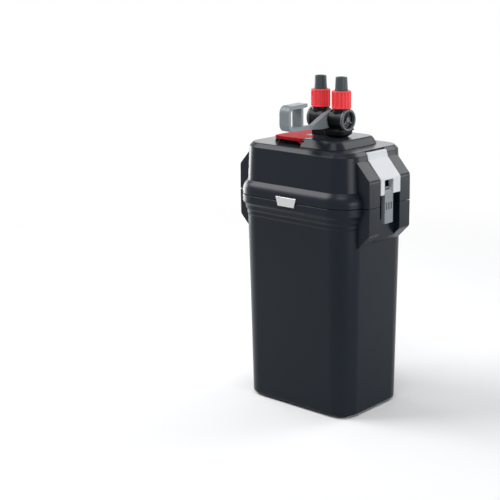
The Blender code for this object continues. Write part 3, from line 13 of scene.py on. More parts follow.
import bmesh
import bpy
import numpy as np
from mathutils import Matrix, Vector


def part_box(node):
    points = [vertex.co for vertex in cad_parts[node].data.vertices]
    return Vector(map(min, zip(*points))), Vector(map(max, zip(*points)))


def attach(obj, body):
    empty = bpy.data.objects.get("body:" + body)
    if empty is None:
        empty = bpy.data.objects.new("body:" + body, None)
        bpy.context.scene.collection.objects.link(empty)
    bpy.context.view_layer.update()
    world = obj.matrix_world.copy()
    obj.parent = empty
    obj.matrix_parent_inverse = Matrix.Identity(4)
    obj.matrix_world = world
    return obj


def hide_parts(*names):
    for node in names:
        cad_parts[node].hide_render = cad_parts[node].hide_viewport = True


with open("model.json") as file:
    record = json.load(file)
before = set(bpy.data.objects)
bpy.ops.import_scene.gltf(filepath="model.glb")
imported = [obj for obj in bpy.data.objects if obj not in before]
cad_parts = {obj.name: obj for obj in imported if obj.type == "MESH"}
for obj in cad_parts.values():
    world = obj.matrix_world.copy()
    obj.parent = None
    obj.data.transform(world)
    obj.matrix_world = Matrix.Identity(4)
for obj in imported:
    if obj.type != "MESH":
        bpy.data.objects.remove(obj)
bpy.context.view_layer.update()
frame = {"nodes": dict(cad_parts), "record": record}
NODES = frame["nodes"]
BODY_OF = {node: body for body, nodes in frame["record"]["behaviour"]["bodies"].items()
           for node in nodes}

# %% [markdown]
# ## The camera
#
# A camera is a point, a direction and a focal length.  This one looks at the
# filter from its front right corner and a little above.  The filter lies off the
# middle of the frame, so the lens is shifted instead of turned: a turned camera
# would change the slant of the upright edges.

# %% Place the camera
SEAM_Z = 0.306
AZIMUTH, ELEVATION, DISTANCE = 39.56, 11.63, 1.7891
TARGET = Vector((0.0, 0.0, SEAM_Z + 0.0005))


def look_back(azimuth, elevation):
    """The unit vector from the object to the camera: east by sine, towards the front by cosine."""
    a, e = math.radians(azimuth), math.radians(elevation)
    return Vector((math.sin(a) * math.cos(e), -math.cos(a) * math.cos(e), math.sin(e)))


lens = bpy.data.cameras.new("camera")
lens.lens = 89.0
lens.sensor_width = 36.0
lens.shift_x, lens.shift_y = -0.1467, -0.1134
lens.clip_start, lens.clip_end = 0.1, 20.0
camera = bpy.data.objects.new("camera", lens)
bpy.context.scene.collection.objects.link(camera)
back = look_back(AZIMUTH, ELEVATION)
camera.location = TARGET + back * DISTANCE
camera.rotation_euler = (-back).to_track_quat('-Z', 'Y').to_euler()
bpy.context.scene.camera = camera
print("camera at", [round(v, 3) for v in camera.location])

# %% [markdown]
# ## Materials
#
# Nearly all of the filter is moulded plastic.  What makes it look real is a very
# fine grain from the mould, a slow change of gloss where hands and dust have
# been, and a faint drift of colour.  All three are made once, in a node group,
# and each material places the group with its own strengths.

# %% A node group for moulded surfaces


def new_group(name, inputs, outputs):
    """An empty shader group with float or colour sockets, and its two end nodes."""
    tree = bpy.data.node_groups.new(name, 'ShaderNodeTree')
    for label, kind, value in inputs:
        socket = tree.interface.new_socket(label, in_out='INPUT', socket_type=kind)
        socket.default_value = value
    for label, kind in outputs:
        tree.interface.new_socket(label, in_out='OUTPUT', socket_type=kind)
    start = tree.nodes.new('NodeGroupInput')
    end = tree.nodes.new('NodeGroupOutput')
    return tree, start, end


def add_node(tree, kind, **values):
    """A node with some of its properties and inputs set by name."""
    node = tree.nodes.new(kind)
    for label, value in values.items():
        label = label.replace("_", " ") if label.replace("_", " ") in node.inputs else label
        if label in node.inputs:
            node.inputs[label].default_value = value
        else:
            setattr(node, label, value)
    return node


FLOAT, COLOUR = 'NodeSocketFloat', 'NodeSocketColor'


def moulded_group():
    """Colour times (1 + drift), roughness plus wear, and a height from fine noise.

    Faces that look up are mixed towards a pale dust, in patches, and are rougher there.
    """
    tree, start, end = new_group(
        "moulded_surface",
        [("Color", COLOUR, (0.5, 0.5, 0.5, 1)), ("Roughness", FLOAT, 0.4), ("Drift", FLOAT, 0.1),
         ("Wear", FLOAT, 0.08), ("Grain Size", FLOAT, 1400.0), ("Dust", FLOAT, 0.0)],
        [("Color", COLOUR), ("Roughness", FLOAT), ("Height", FLOAT)])
    place = add_node(tree, 'ShaderNodeTexCoord')
    slow = add_node(tree, 'ShaderNodeTexNoise', Scale=9.0, Detail=3.0)
    fine = add_node(tree, 'ShaderNodeTexNoise', Detail=2.0)
    specks = add_node(tree, 'ShaderNodeTexNoise', Scale=260.0, Detail=2.0)
    links = tree.links
    for node in (slow, fine, specks):
        links.new(place.outputs['Object'], node.inputs['Vector'])
    links.new(start.outputs['Grain Size'], fine.inputs['Scale'])
    centred = add_node(tree, 'ShaderNodeMath', operation='SUBTRACT')
    centred.inputs[1].default_value = 0.5
    links.new(slow.outputs['Fac'], centred.inputs[0])
    drift = add_node(tree, 'ShaderNodeMath', operation='MULTIPLY')
    links.new(centred.outputs[0], drift.inputs[0])
    links.new(start.outputs['Drift'], drift.inputs[1])
    gain = add_node(tree, 'ShaderNodeMath', operation='ADD')
    gain.inputs[1].default_value = 1.0
    links.new(drift.outputs[0], gain.inputs[0])
    tint = add_node(tree, 'ShaderNodeVectorMath', operation='SCALE')
    links.new(start.outputs['Color'], tint.inputs[0])
    links.new(gain.outputs[0], tint.inputs['Scale'])
    upward = add_node(tree, 'ShaderNodeNewGeometry')
    split = add_node(tree, 'ShaderNodeSeparateXYZ')
    links.new(upward.outputs['Normal'], split.inputs[0])
    facing = add_node(tree, 'ShaderNodeMapRange')
    facing.inputs['From Min'].default_value = 0.55
    links.new(split.outputs['Z'], facing.inputs['Value'])
    lying = add_node(tree, 'ShaderNodeMath', operation='MULTIPLY')
    links.new(facing.outputs[0], lying.inputs[0])
    links.new(start.outputs['Dust'], lying.inputs[1])
    patchy = add_node(tree, 'ShaderNodeMath', operation='MULTIPLY')
    links.new(lying.outputs[0], patchy.inputs[0])
    links.new(specks.outputs['Fac'], patchy.inputs[1])
    dusted = add_node(tree, 'ShaderNodeMix', data_type='RGBA')
    links.new(patchy.outputs[0], dusted.inputs['Factor'])
    links.new(tint.outputs[0], dusted.inputs['A'])
    dusted.inputs['B'].default_value = (0.42, 0.42, 0.41, 1)
    links.new(dusted.outputs['Result'], end.inputs['Color'])
    worn = add_node(tree, 'ShaderNodeMath', operation='MULTIPLY_ADD')
    links.new(centred.outputs[0], worn.inputs[0])
    links.new(start.outputs['Wear'], worn.inputs[1])
    links.new(start.outputs['Roughness'], worn.inputs[2])
    rough = add_node(tree, 'ShaderNodeMath', operation='ADD')
    links.new(worn.outputs[0], rough.inputs[0])
    links.new(patchy.outputs[0], rough.inputs[1])
    links.new(rough.outputs[0], end.inputs['Roughness'])
    links.new(fine.outputs['Fac'], end.inputs['Height'])
    return tree


MOULDED = moulded_group()
print("group", MOULDED.name, "with", len(MOULDED.nodes), "nodes")

# %% The finishes


def finish(name, colour, roughness, metallic=0.0, grain=0.02, size=1400.0, drift=0.15, dust=0.0,
           shine=0.5):
    """A Principled material whose colour, roughness and bump come from the moulded group."""
    material = bpy.data.materials.new(name)
    material.use_nodes = True
    tree = material.node_tree
    shader = tree.nodes['Principled BSDF']
    group = tree.nodes.new('ShaderNodeGroup')
    group.node_tree = MOULDED
    values = {"Color": (*colour, 1.0), "Roughness": roughness, "Drift": drift, "Grain Size": size,
              "Dust": dust}
    for label, value in values.items():
        group.inputs[label].default_value = value
    bump = add_node(tree, 'ShaderNodeBump', Strength=grain, Distance=0.001)
    tree.links.new(group.outputs['Color'], shader.inputs['Base Color'])
    tree.links.new(group.outputs['Roughness'], shader.inputs['Roughness'])
    tree.links.new(group.outputs['Height'], bump.inputs['Height'])
    tree.links.new(bump.outputs['Normal'], shader.inputs['Normal'])
    shader.inputs['Metallic'].default_value = metallic
    shader.inputs['Specular IOR Level'].default_value = shine
    return material


CHARCOAL = finish("charcoal_moulding", (0.005, 0.009, 0.015), 0.29, grain=0.05, dust=0.03, shine=0.17)
BLACK = finish("black_moulding", (0.004, 0.005, 0.006), 0.33, grain=0.05, shine=0.12)
PALE = finish("pale_lever_moulding", (0.51, 0.53, 0.55), 0.36, grain=0.03, drift=0.04, shine=0.3)
GREY = finish("grey_hook_moulding", (0.170, 0.193, 0.207), 0.40, grain=0.04, drift=0.08, shine=0.3)
SLATE = finish("dark_grey_moulding", (0.042, 0.050, 0.052), 0.45, grain=0.05, shine=0.2)
STEM = finish("stem_moulding", (0.048, 0.062, 0.066), 0.40, grain=0.05, shine=0.2)
RED = finish("glossy_red_moulding", (0.80, 0.052, 0.060), 0.38, grain=0.015, drift=0.1, shine=0.15)
PULL_RED = finish("deep_red_moulding", (0.36, 0.010, 0.014), 0.55, grain=0.015, drift=0.1, shine=0.05)
RUBBER = finish("black_rubber", (0.016, 0.016, 0.016), 0.75, grain=0.10, size=700.0)
STEEL = finish("turned_steel", (0.60, 0.60, 0.61), 0.26, metallic=1.0, grain=0.02)
FOAM = finish("open_foam", (0.05, 0.055, 0.06), 0.95, grain=0.9, size=420.0, drift=0.5)
MEDIA = finish("netted_media", (0.62, 0.57, 0.48), 0.9, grain=0.7, size=240.0, drift=0.6)
WHITE = finish("white_floss", (0.80, 0.80, 0.78), 0.8, grain=0.5, size=500.0)
RING = finish("grey_ring_moulding", (0.085, 0.097, 0.102), 0.36, grain=0.03, shine=0.2)
MAGNET = finish("bonded_magnet", (0.05, 0.05, 0.052), 0.5, metallic=0.2, grain=0.1)
COPPER = finish("enamelled_wire", (0.55, 0.24, 0.12), 0.35, metallic=1.0, grain=0.3, size=900.0)
SLOT_FINISH = {"body": CHARCOAL, "dark": BLACK, "lever": PALE, "grey": GREY, "slate": SLATE,
               "red": PULL_RED, "rubber": RUBBER, "steel": STEEL, "foam": FOAM, "media": MEDIA,
               "ceramic": WHITE, "magnet": MAGNET, "copper": COPPER}
print(len(SLOT_FINISH), "finishes")

# %% [markdown]
# The bare plate on the flange is brushed metal.  Brushing leaves long thin
# scratches along the plate, which a noise stretched along X gives: the Mapping
# node squeezes the pattern across the scratches and leaves it long along them.

# %% Brushed plate


def brushed(name, colour, roughness):
    """Metal whose roughness and bump follow a noise stretched thirty times along X."""
    material = bpy.data.materials.new(name)
    material.use_nodes = True
    tree = material.node_tree
    shader = tree.nodes['Principled BSDF']
    place = tree.nodes.new('ShaderNodeTexCoord')
    stretch = tree.nodes.new('ShaderNodeMapping')
    stretch.inputs['Scale'].default_value = (60.0, 1800.0, 1800.0)
    scratch = add_node(tree, 'ShaderNodeTexNoise', Scale=1.0, Detail=4.0)
    tree.links.new(place.outputs['Object'], stretch.inputs['Vector'])
    tree.links.new(stretch.outputs['Vector'], scratch.inputs['Vector'])
    rough = tree.nodes.new('ShaderNodeMapRange')
    rough.inputs['To Min'].default_value = roughness - 0.08
    rough.inputs['To Max'].default_value = roughness + 0.12
    tree.links.new(scratch.outputs['Fac'], rough.inputs['Value'])
    tree.links.new(rough.outputs[0], shader.inputs['Roughness'])
    bump = add_node(tree, 'ShaderNodeBump', Strength=0.15, Distance=0.0005)
    tree.links.new(scratch.outputs['Fac'], bump.inputs['Height'])
    tree.links.new(bump.outputs['Normal'], shader.inputs['Normal'])
    shader.inputs['Base Color'].default_value = (*colour, 1.0)
    shader.inputs['Metallic'].default_value = 1.0
    return material


SLOT_FINISH["badge"] = brushed("brushed_plate", (0.56, 0.57, 0.58), 0.34)
print("plate", SLOT_FINISH["badge"].name)

# %% [markdown]
# Every solid of the model now gets the finish of its slot.  The main solids that
# show are replaced below by finer surfaces.  The rest keep their own shape: those
# inside the filter, and small ones such as the feet and the cord's gland.

# %% Give every solid its finish
SLOT_OF = {part["node"]: part["material_slot"] for part in frame["record"]["subparts"]}
for node_name, solid in NODES.items():
    solid.data.materials.clear()
    solid.data.materials.append(SLOT_FINISH[SLOT_OF[node_name]])
print("dressed", len(NODES), "solids")

# %% [markdown]
# ## Helpers for surfaces
#
# A moulded shell is a family of rings: each ring is the same rounded rectangle,
# drawn a little in or out and at its own height.  As arrays, the whole shell is
# one formula, and the mesh only has to be told which points are neighbours.

# %% Rings, rounded outlines and skins


def rounded(points, cut, steps=4, closed=False):
    """Each corner B turns into (1-t)^2 A + 2t(1-t) B + t^2 C, with A and C a cut away from B."""
    points = np.asarray(points, float)
    cut = np.broadcast_to(np.asarray(cut, float), len(points)).copy()
    before, after = np.roll(points, 1, axis=0), np.roll(points, -1, axis=0)
    if not closed:
        cut[0] = cut[-1] = 0.0
        before[0], after[-1] = points[0] - 1.0, points[-1] + 1.0
    into, out = before - points, after - points
    long_in = np.linalg.norm(into, axis=1, keepdims=True)
    long_out = np.linalg.norm(out, axis=1, keepdims=True)
    reach = np.minimum(cut[:, None], 0.49 * np.minimum(long_in, long_out))
    a, c = points + into / long_in * reach, points + out / long_out * reach
    t = np.linspace(0.0, 1.0, steps + 1)[None, :, None]
    arcs = (1 - t) ** 2 * a[:, None] + 2 * t * (1 - t) * points[:, None] + t ** 2 * c[:, None]
    keep = np.broadcast_to((cut > 0)[:, None], arcs.shape[:2]).copy()
    keep[:, 0] = True
    return arcs[keep]


def plan(half_x, half_y, radius, steps=12):
    """Corner k sits (half - radius) out from the middle and swings a quarter turn from k*90 degrees.

    The sizes may be arrays, one value for each ring.
    """
    half_x, half_y, radius = (np.atleast_1d(v).astype(float)[:, None, None]
                              for v in (half_x, half_y, radius))
    turn = np.arange(4)[:, None] * np.pi / 2 + np.linspace(0, np.pi / 2, steps + 1)
    side_x = np.array([1, -1, -1, 1])[:, None]
    side_y = np.array([1, 1, -1, -1])[:, None]
    x = side_x * (half_x - radius) + radius * np.cos(turn)
    y = side_y * (half_y - radius) + radius * np.sin(turn)
    return np.stack([x, y], axis=-1).reshape(len(x), -1, 2)


def lifted(flat, height):
    """Each ring of a plan, (x, y), at its own height: (x, y, height)."""
    level = np.broadcast_to(np.asarray(height)[:, None, None], flat.shape[:2] + (1,))
    return np.concatenate([flat, level], axis=-1)


def mesh_of(name, points, faces, finish_of, sharp=32.0):
    """A named object from an array of points and lists of corners, smooth but for its sharp edges."""
    mesh = bpy.data.meshes.new(name)
    mesh.from_pydata(points.tolist(), [], faces)
    mesh.update()
    mesh.shade_smooth()
    mesh.set_sharp_from_angle(angle=math.radians(sharp))
    mesh.materials.append(finish_of)
    obj = bpy.data.objects.new(name, mesh)
    bpy.context.scene.collection.objects.link(obj)
    even = obj.modifiers.new("even_shading", 'WEIGHTED_NORMAL')
    even.keep_sharp = True
    return obj


def skin_faces(rings, around, loop=False):
    """Quads between each ring and the next; the first and last ring are closed, or joined in a loop."""
    ids = np.arange(rings * around).reshape(rings, around)
    low = ids if loop else ids[:-1]
    high = np.roll(ids, -1, axis=0) if loop else ids[1:]
    quads = np.stack([low, np.roll(low, -1, axis=1), np.roll(high, -1, axis=1), high], axis=-1)
    faces = quads.reshape(-1, 4).tolist()
    if not loop:
        faces += [ids[0][::-1].tolist(), ids[-1].tolist()]
    return faces


def skin(name, grid, finish_of, loop=False, sharp=32.0):
    """A closed surface through a grid of points, rings by around by 3."""
    rings, around = grid.shape[:2]
    return mesh_of(name, grid.reshape(-1, 3), skin_faces(rings, around, loop), finish_of, sharp)


def joined(name, grids, finish_of):
    """Several closed skins as one object; each grid's corners are counted on from the last one's."""
    faces, points, start = [], [], 0
    for grid in grids:
        rings, around = grid.shape[:2]
        faces += [[start + i for i in face] for face in skin_faces(rings, around)]
        points.append(grid.reshape(-1, 3))
        start += rings * around
    return mesh_of(name, np.concatenate(points), faces, finish_of)


def prism(outline, low, high, axis='Y', edge=0.0006):
    """An outline carried along Y or X: its ends draw in by edge, so the rims catch the light."""
    outline = np.asarray(outline, float)
    centre = outline.mean(axis=0)
    reach = np.linalg.norm(outline - centre, axis=1, keepdims=True)
    inner = outline - (outline - centre) / reach * edge
    area = 0.5 * np.sum(outline[:, 0] * np.roll(outline[:, 1], -1)
                        - np.roll(outline[:, 0], -1) * outline[:, 1])
    rows = [(inner, low), (outline, low + edge), (outline, high - edge), (inner, high)]
    grid = np.empty((4, len(outline), 3))
    for k, (flat, level) in enumerate(rows):
        along = np.full(len(flat), level)
        columns = (flat[:, 0], along, flat[:, 1]) if axis == 'Y' else (along, flat[:, 0], flat[:, 1])
        grid[k] = np.stack(columns, axis=-1)
    turned_over = (area > 0) if axis == 'Y' else (area < 0)
    return grid[:, ::-1] if turned_over else grid


def lathe(profile, centre, axis='Z', around=64, ripple=None):
    """Every profile point (r, h) swings round Z or X: (r cos u, r sin u, h), or (h, r cos u, r sin u).

    ripple(u) is added to the radius where the profile's third number says how much.
    """
    profile = np.asarray(profile, float)
    u = np.arange(around) * 2 * np.pi / around
    radius = profile[:, 0:1] + np.zeros(around)
    if ripple is not None:
        radius = radius + profile[:, 2:3] * ripple(u)
    a, b = radius * np.cos(u), radius * np.sin(u)
    height = profile[:, 1:2] + np.zeros(around)
    columns = (a, b, height) if axis == 'Z' else (height, a, b)
    return np.stack(columns, axis=-1) + np.asarray(centre)


def settle(obj, node):
    """The piece stands for a solid: it rides on the solid's body, and the solid itself is hidden."""
    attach(obj, BODY_OF[node])
    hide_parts(node)
    return obj


print("helpers ready")

# %% [markdown]
# ## The canister
#
# The vessel is a deep tapered box with soft corners.  Under the joint line its
# flange drops straight, steps in twice and meets the plain wall.  The profile is
# a short list of (how far out, how high) points with rounded corners, and every
# point becomes one ring of the shell.  The inside is a second profile, so the
# piece has a real wall.

# %% The canister's shell
HALF_X, HALF_Y, CORNER_R = 0.0996, 0.0719, 0.0326
WALL = 0.0032
FLANGE_OUT = 0.0078
SEAM_GAP = 0.0004
PANEL_HIGH = 0.0010


def shell_grid(first, second):
    """Each (offset, height) of two profiles that meet at the lip becomes a ring at its own plan."""
    out, up = np.concatenate([first, second]).T
    return lifted(plan(HALF_X + out, HALF_Y + out, CORNER_R + out), SEAM_Z + up)


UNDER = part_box("canister_case")[0][2]
BASE = UNDER + PANEL_HIGH - SEAM_Z
outside = rounded([(-0.0097, BASE), (-0.0047, BASE + 0.0002), (-0.0045, BASE + 0.012),
                   (0.0004, -0.0310), (0.0016, -0.0285), (0.0016, -0.0235), (0.0034, -0.0215),
                   (0.0044, -0.0150), (FLANGE_OUT, -0.0115), (FLANGE_OUT, -SEAM_GAP - 0.0004),
                   (FLANGE_OUT - 0.0004, -SEAM_GAP)],
                  [0, 0.004, 0.003, 0.001, 0.0012, 0.0012, 0.0012, 0.0016, 0.0014, 0, 0])
inside = np.array([(-WALL, -SEAM_GAP), (-WALL, -0.031), (-0.0079, BASE + 0.008), (-0.0119, BASE + 0.004)])
canister = settle(skin("canister_shell", shell_grid(outside, inside), CHARCOAL), "canister_case")
print("canister rings:", len(outside) + len(inside))

# %% [markdown]
# Underneath, a flat panel stands a millimetre proud between the four feet, and
# takes the weight when the feet are off.  It is three rings of one rounded
# rectangle, with the lowest drawn in.

# %% The panel under the canister
rise = np.array([0.0, 0.0004, 0.0020])
drawn_in = np.array([0.0004, 0.0, 0.0])
PANEL_X, PANEL_Y, PANEL_R = 0.0646, 0.0607, 0.0045
panel = lifted(plan(PANEL_X - drawn_in, PANEL_Y - drawn_in, PANEL_R - drawn_in), UNDER + rise)
settle(skin("canister_base_panel", panel, CHARCOAL), "canister_case")
print("panel under the canister at", round(UNDER, 4))

# %% [markdown]
# ## The motor head
#
# The head's housing uses the same plan.  Its flange stands straight, rounds over
# into a slope and meets the wall, which leans in a little and ends in a bevelled
# rim under the flat deck.

# %% The head's shell
RIM, DECK = 0.0695, 0.0754
ceiling = np.array([(-0.0120, DECK - WALL), (-0.0057, RIM - 0.002), (-WALL, 0.0207),
                    (FLANGE_OUT - WALL, 0.0071), (FLANGE_OUT - WALL, SEAM_GAP)])
crown = rounded([(FLANGE_OUT - 0.0004, SEAM_GAP), (FLANGE_OUT, SEAM_GAP + 0.0004), (FLANGE_OUT, 0.0086),
                 (0.0050, 0.0155), (0.0, 0.0207), (-0.00245, RIM), (-0.00835, DECK), (-0.0200, DECK)],
                [0, 0, 0.0030, 0.0030, 0.0010, 0.0012, 0.0014, 0])
head = settle(skin("head_shell", shell_grid(ceiling, crown), CHARCOAL), "head_housing")
print("head rings:", len(ceiling) + len(crown))

# %% [markdown]
# ## The side bulges
#
# A pillar stands in front of each clamp and another behind it, with a channel
# between them.  A pillar is an outline in the X-Z plane, carried along Y.  The
# rims of its ends are drawn in, because a moulded edge is never knife sharp, and
# that thin bevel is what shows as a light line along the edge.

# %% Pillars and channels
HOOK_Y = -0.0040
BULGE_X, BULGE_HALF = 0.1200, 0.0470
CHANNEL_HALF, CHANNEL_X = 0.0227, 0.1100
head_pillar = rounded([(0.0940, SEAM_GAP), (BULGE_X - 0.0003, SEAM_GAP), (BULGE_X, SEAM_GAP + 0.0004),
                       (BULGE_X, 0.0380), (0.0972, 0.0630), (0.0940, 0.0630)],
                      [0, 0, 0, 0.0030, 0.0020, 0], closed=True)
case_pillar = rounded([(0.0940, -SEAM_GAP), (0.0940, -0.0600), (0.0993, -0.0580), (BULGE_X, -0.0374),
                       (BULGE_X, -SEAM_GAP - 0.0004), (BULGE_X - 0.0003, -SEAM_GAP)],
                      [0, 0, 0.0020, 0.0030, 0, 0], closed=True)
head_channel = np.array([(0.0940, SEAM_GAP), (CHANNEL_X, SEAM_GAP), (CHANNEL_X, 0.0435), (0.0956, 0.0607),
                         (0.0940, 0.0607)])
case_channel = np.array([(0.0940, -SEAM_GAP), (0.0940, -0.0560), (0.1012, -0.0560), (CHANNEL_X, -0.0480),
                         (CHANNEL_X, -SEAM_GAP)])
lug = rounded([(0.1084, -0.0102), (0.1110, -0.0102), (0.1138, -0.0147), (0.1138, -0.0192), (0.1084, -0.0192)],
              [0, 0.0008, 0.001, 0.0005, 0], closed=True)


def at_side(outline, side, near, far):
    """The outline, lifted to the joint line and mirrored for side -1, carried along Y from near to far."""
    flat = np.asarray(outline) * (side, 1.0) + (0.0, SEAM_Z)
    return prism(flat, near, far)


def both_pillars(outline, channel):
    """On each side: a pillar in front of the clamp, one behind it, and the channel's wall between."""
    grids = []
    for side in (1, -1):
        grids.append(at_side(outline, side, CHANNEL_HALF, BULGE_HALF))
        grids.append(at_side(outline, side, -BULGE_HALF, -CHANNEL_HALF))
        grids.append(at_side(channel, side, -CHANNEL_HALF - 0.001, CHANNEL_HALF + 0.001))
    return grids


head_sides = joined("head_side_pillars", both_pillars(head_pillar, head_channel), CHARCOAL)
settle(head_sides, "head_housing")
lugs = [at_side(lug, side, HOOK_Y - 0.0093, HOOK_Y + 0.0093) for side in (1, -1)]
case_sides = joined("canister_side_pillars", both_pillars(case_pillar, case_channel) + lugs, CHARCOAL)
settle(case_sides, "canister_case")
print("side pieces:", [head_sides.name, case_sides.name])

# %% [markdown]
# ## The pockets for the clamp hinges, and the deck's holes
#
# Each clamp lever ends in a roll that turns in a pocket, which is let into the
# rim and open at its top and side.  A block behind the wall keeps the pocket
# closed towards the inside.  A pocket is where two closed forms have been, a
# roll and the lever's own path, so it is made by taking them away.  The deck's
# holes for the pump and the two pipes, and the back wall's hole for the gland,
# are taken away in the same step.

# %% Cut the pockets into the rim
HINGE_X, HINGE_UP, POCKET_R = 0.09355, 0.0691, 0.0051
PORTS = {"left": -0.0050, "right": 0.0330}
PIPE_R, GLAND_NECK_R, HOLE_GAP, HOLE_REACH = 0.0078, 0.0059, 0.0003, 0.01
GLAND_X, GLAND_UP = -0.0600, 0.0400
BLOCK_PAST = 0.0045
block = [(0.0867, 0.0600), (0.0956, 0.0600), (0.0956, 0.0691), (0.0926, 0.0731), (0.0867, 0.0731)]
lever_path = [(CHANNEL_X, 0.0300), (0.1400, 0.0300), (0.1400, 0.0900), (0.09055, 0.0900), (0.09055, 0.0721),
              (0.09305, 0.0647), (0.09555, 0.0608), (CHANNEL_X, 0.04355)]


def carve(obj, *grids):
    """Take closed forms away from a piece with exact Booleans, and keep what is left as its mesh."""
    tools = []
    for number, grid in enumerate(grids):
        rings, around = grid.shape[:2]
        mesh = bpy.data.meshes.new("carver_%d" % number)
        mesh.from_pydata(grid.reshape(-1, 3).tolist(), [], skin_faces(rings, around))
        tool = bpy.data.objects.new(mesh.name, mesh)
        bpy.context.scene.collection.objects.link(tool)
        step = obj.modifiers.new("carve_%d" % number, 'BOOLEAN')
        step.object, step.operation, step.solver = tool, 'DIFFERENCE', 'EXACT'
        tools.append((tool, step))
    even = obj.modifiers["even_shading"]
    even.show_viewport = False
    left = bpy.data.meshes.new_from_object(obj.evaluated_get(bpy.context.evaluated_depsgraph_get()))
    for tool, step in tools:
        obj.modifiers.remove(step)
        bpy.data.objects.remove(tool, do_unlink=True)
    plain, obj.data = obj.data, left
    bpy.data.meshes.remove(plain)
    left.set_sharp_from_angle(angle=math.radians(32))
    even.show_viewport = True
    return obj


def drum(centre, radius, reach, upright=False, around=48):
    """A closed roll about Y, or about Z if upright: the circle of the radius, at -reach and at +reach."""
    u = np.arange(around) * 2 * np.pi / around
    across, over, none = radius * np.cos(u), radius * np.sin(u), np.zeros(around)
    ring = np.stack([across, over, none] if upright else [across, none, over], axis=-1)
    step = np.array([0, 0, reach] if upright else [0, reach, 0])
    rings = np.stack([ring - step, ring + step]) + np.asarray(centre)
    return rings if upright else rings[:, ::-1]


carvers = []
for side in (1, -1):
    path = np.asarray(lever_path) * (side, 1.0) + (0.0, SEAM_Z)
    carvers += [prism(path, -CHANNEL_HALF, CHANNEL_HALF, edge=0.0)[::3],
                drum((side * HINGE_X, 0, SEAM_Z + HINGE_UP), POCKET_R, CHANNEL_HALF)]
pump_low, pump_high = np.asarray(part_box("primer_cylinder"))
pump = (pump_low + pump_high) / 2
pump[2] = SEAM_Z + DECK
pump_r = (pump_high[0] - pump_low[0]) / 2
holes = [drum(pump, pump_r + HOLE_GAP, HOLE_REACH, upright=True),
         drum((GLAND_X, HALF_Y, SEAM_Z + GLAND_UP), GLAND_NECK_R + HOLE_GAP, HOLE_REACH)]
holes += [drum((port, 0, SEAM_Z + DECK), PIPE_R + HOLE_GAP, HOLE_REACH, upright=True)
          for port in PORTS.values()]
carve(head, *carvers, *holes)
for tag, side in (("left", -1), ("right", 1)):
    backing = at_side(block, side, -CHANNEL_HALF - BLOCK_PAST, CHANNEL_HALF + BLOCK_PAST)
    backing = joined("hinge_block_" + tag, [backing], CHARCOAL)
    carve(backing, *carvers)
    settle(backing, "head_housing")
print("rim faces after carving:", len(head.data.polygons))

# %% [markdown]
# ## Pieces that keep their own outline
#
# The clamp levers and hooks, the platform, the red handle, the bare plate, and
# the valve's foot and lever already have the right outline.  What they lack is an
# edge that catches the light.  A copy of the solid is merged back into whole
# faces, and a Bevel modifier rounds every edge that turns by more than
# twenty-eight degrees.

# %% Soft-edged copies
SAME_POINT = 0.00002
FLAT_TURN, EDGE_TURN, SHARP_TURN = (math.radians(turn) for turn in (1.0, 28.0, 35.0))
EDGE_OF = {"head_platform": 0.0009, "primer_handle": 0.0006, "valve_base": 0.0006,
           "clamp_lever_left": 0.0006, "clamp_lever_right": 0.0006,
           "clamp_hook_left": 0.0006, "clamp_hook_right": 0.0006,
           "badge_plate": 0.0003, "valve_lever": 0.0009}


def soft_copy(node, edge):
    """The solid's points merged, its coplanar triangles dissolved, and its edges rounded by edge."""
    copy = NODES[node].data.copy()
    work = bmesh.new()
    work.from_mesh(copy)
    bmesh.ops.remove_doubles(work, verts=work.verts, dist=SAME_POINT)
    bmesh.ops.dissolve_limit(work, angle_limit=FLAT_TURN, verts=work.verts, edges=work.edges)
    work.to_mesh(copy)
    work.free()
    copy.shade_smooth()
    copy.set_sharp_from_angle(angle=SHARP_TURN)
    obj = bpy.data.objects.new(node + "_soft", copy)
    bpy.context.scene.collection.objects.link(obj)
    bevel = obj.modifiers.new("soft_edges", 'BEVEL')
    bevel.width = edge
    bevel.segments = 2
    bevel.limit_method = 'ANGLE'
    bevel.angle_limit = EDGE_TURN
    bevel.miter_outer = 'MITER_ARC'
    even = obj.modifiers.new("even_shading", 'WEIGHTED_NORMAL')
    even.keep_sharp = True
    return settle(obj, node)


for node_name, edge in EDGE_OF.items():
    soft_copy(node_name, edge)
print("soft-edged copies:", len(EDGE_OF))

# %% [markdown]
# ## Lock nuts and hose stems
#
# A lock nut is a turned cup with grip ribs.  On a lathe surface the ribs are a
# ripple of the radius: a wave of the angle, flattened at crest and root, that
# fades out towards the rims.

# %% Nuts
NUT_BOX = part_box("lock_nut_left")
NUT_LOW, NUT_TOP = NUT_BOX[0][2], NUT_BOX[1][2]
RIBS, RIB_DEEP = 16, 0.0011
GRIP_R, THREAD_R, MOUTH_R = 0.0139, 0.0117, 0.0100


def rib_wave(u):
    """(tanh(2.4 cos 16u) - 1) / 2: sixteen waves from -1 to 0, pressed flat at crest and root."""
    return np.tanh(2.4 * np.cos(RIBS * u)) * 0.5 - 0.5


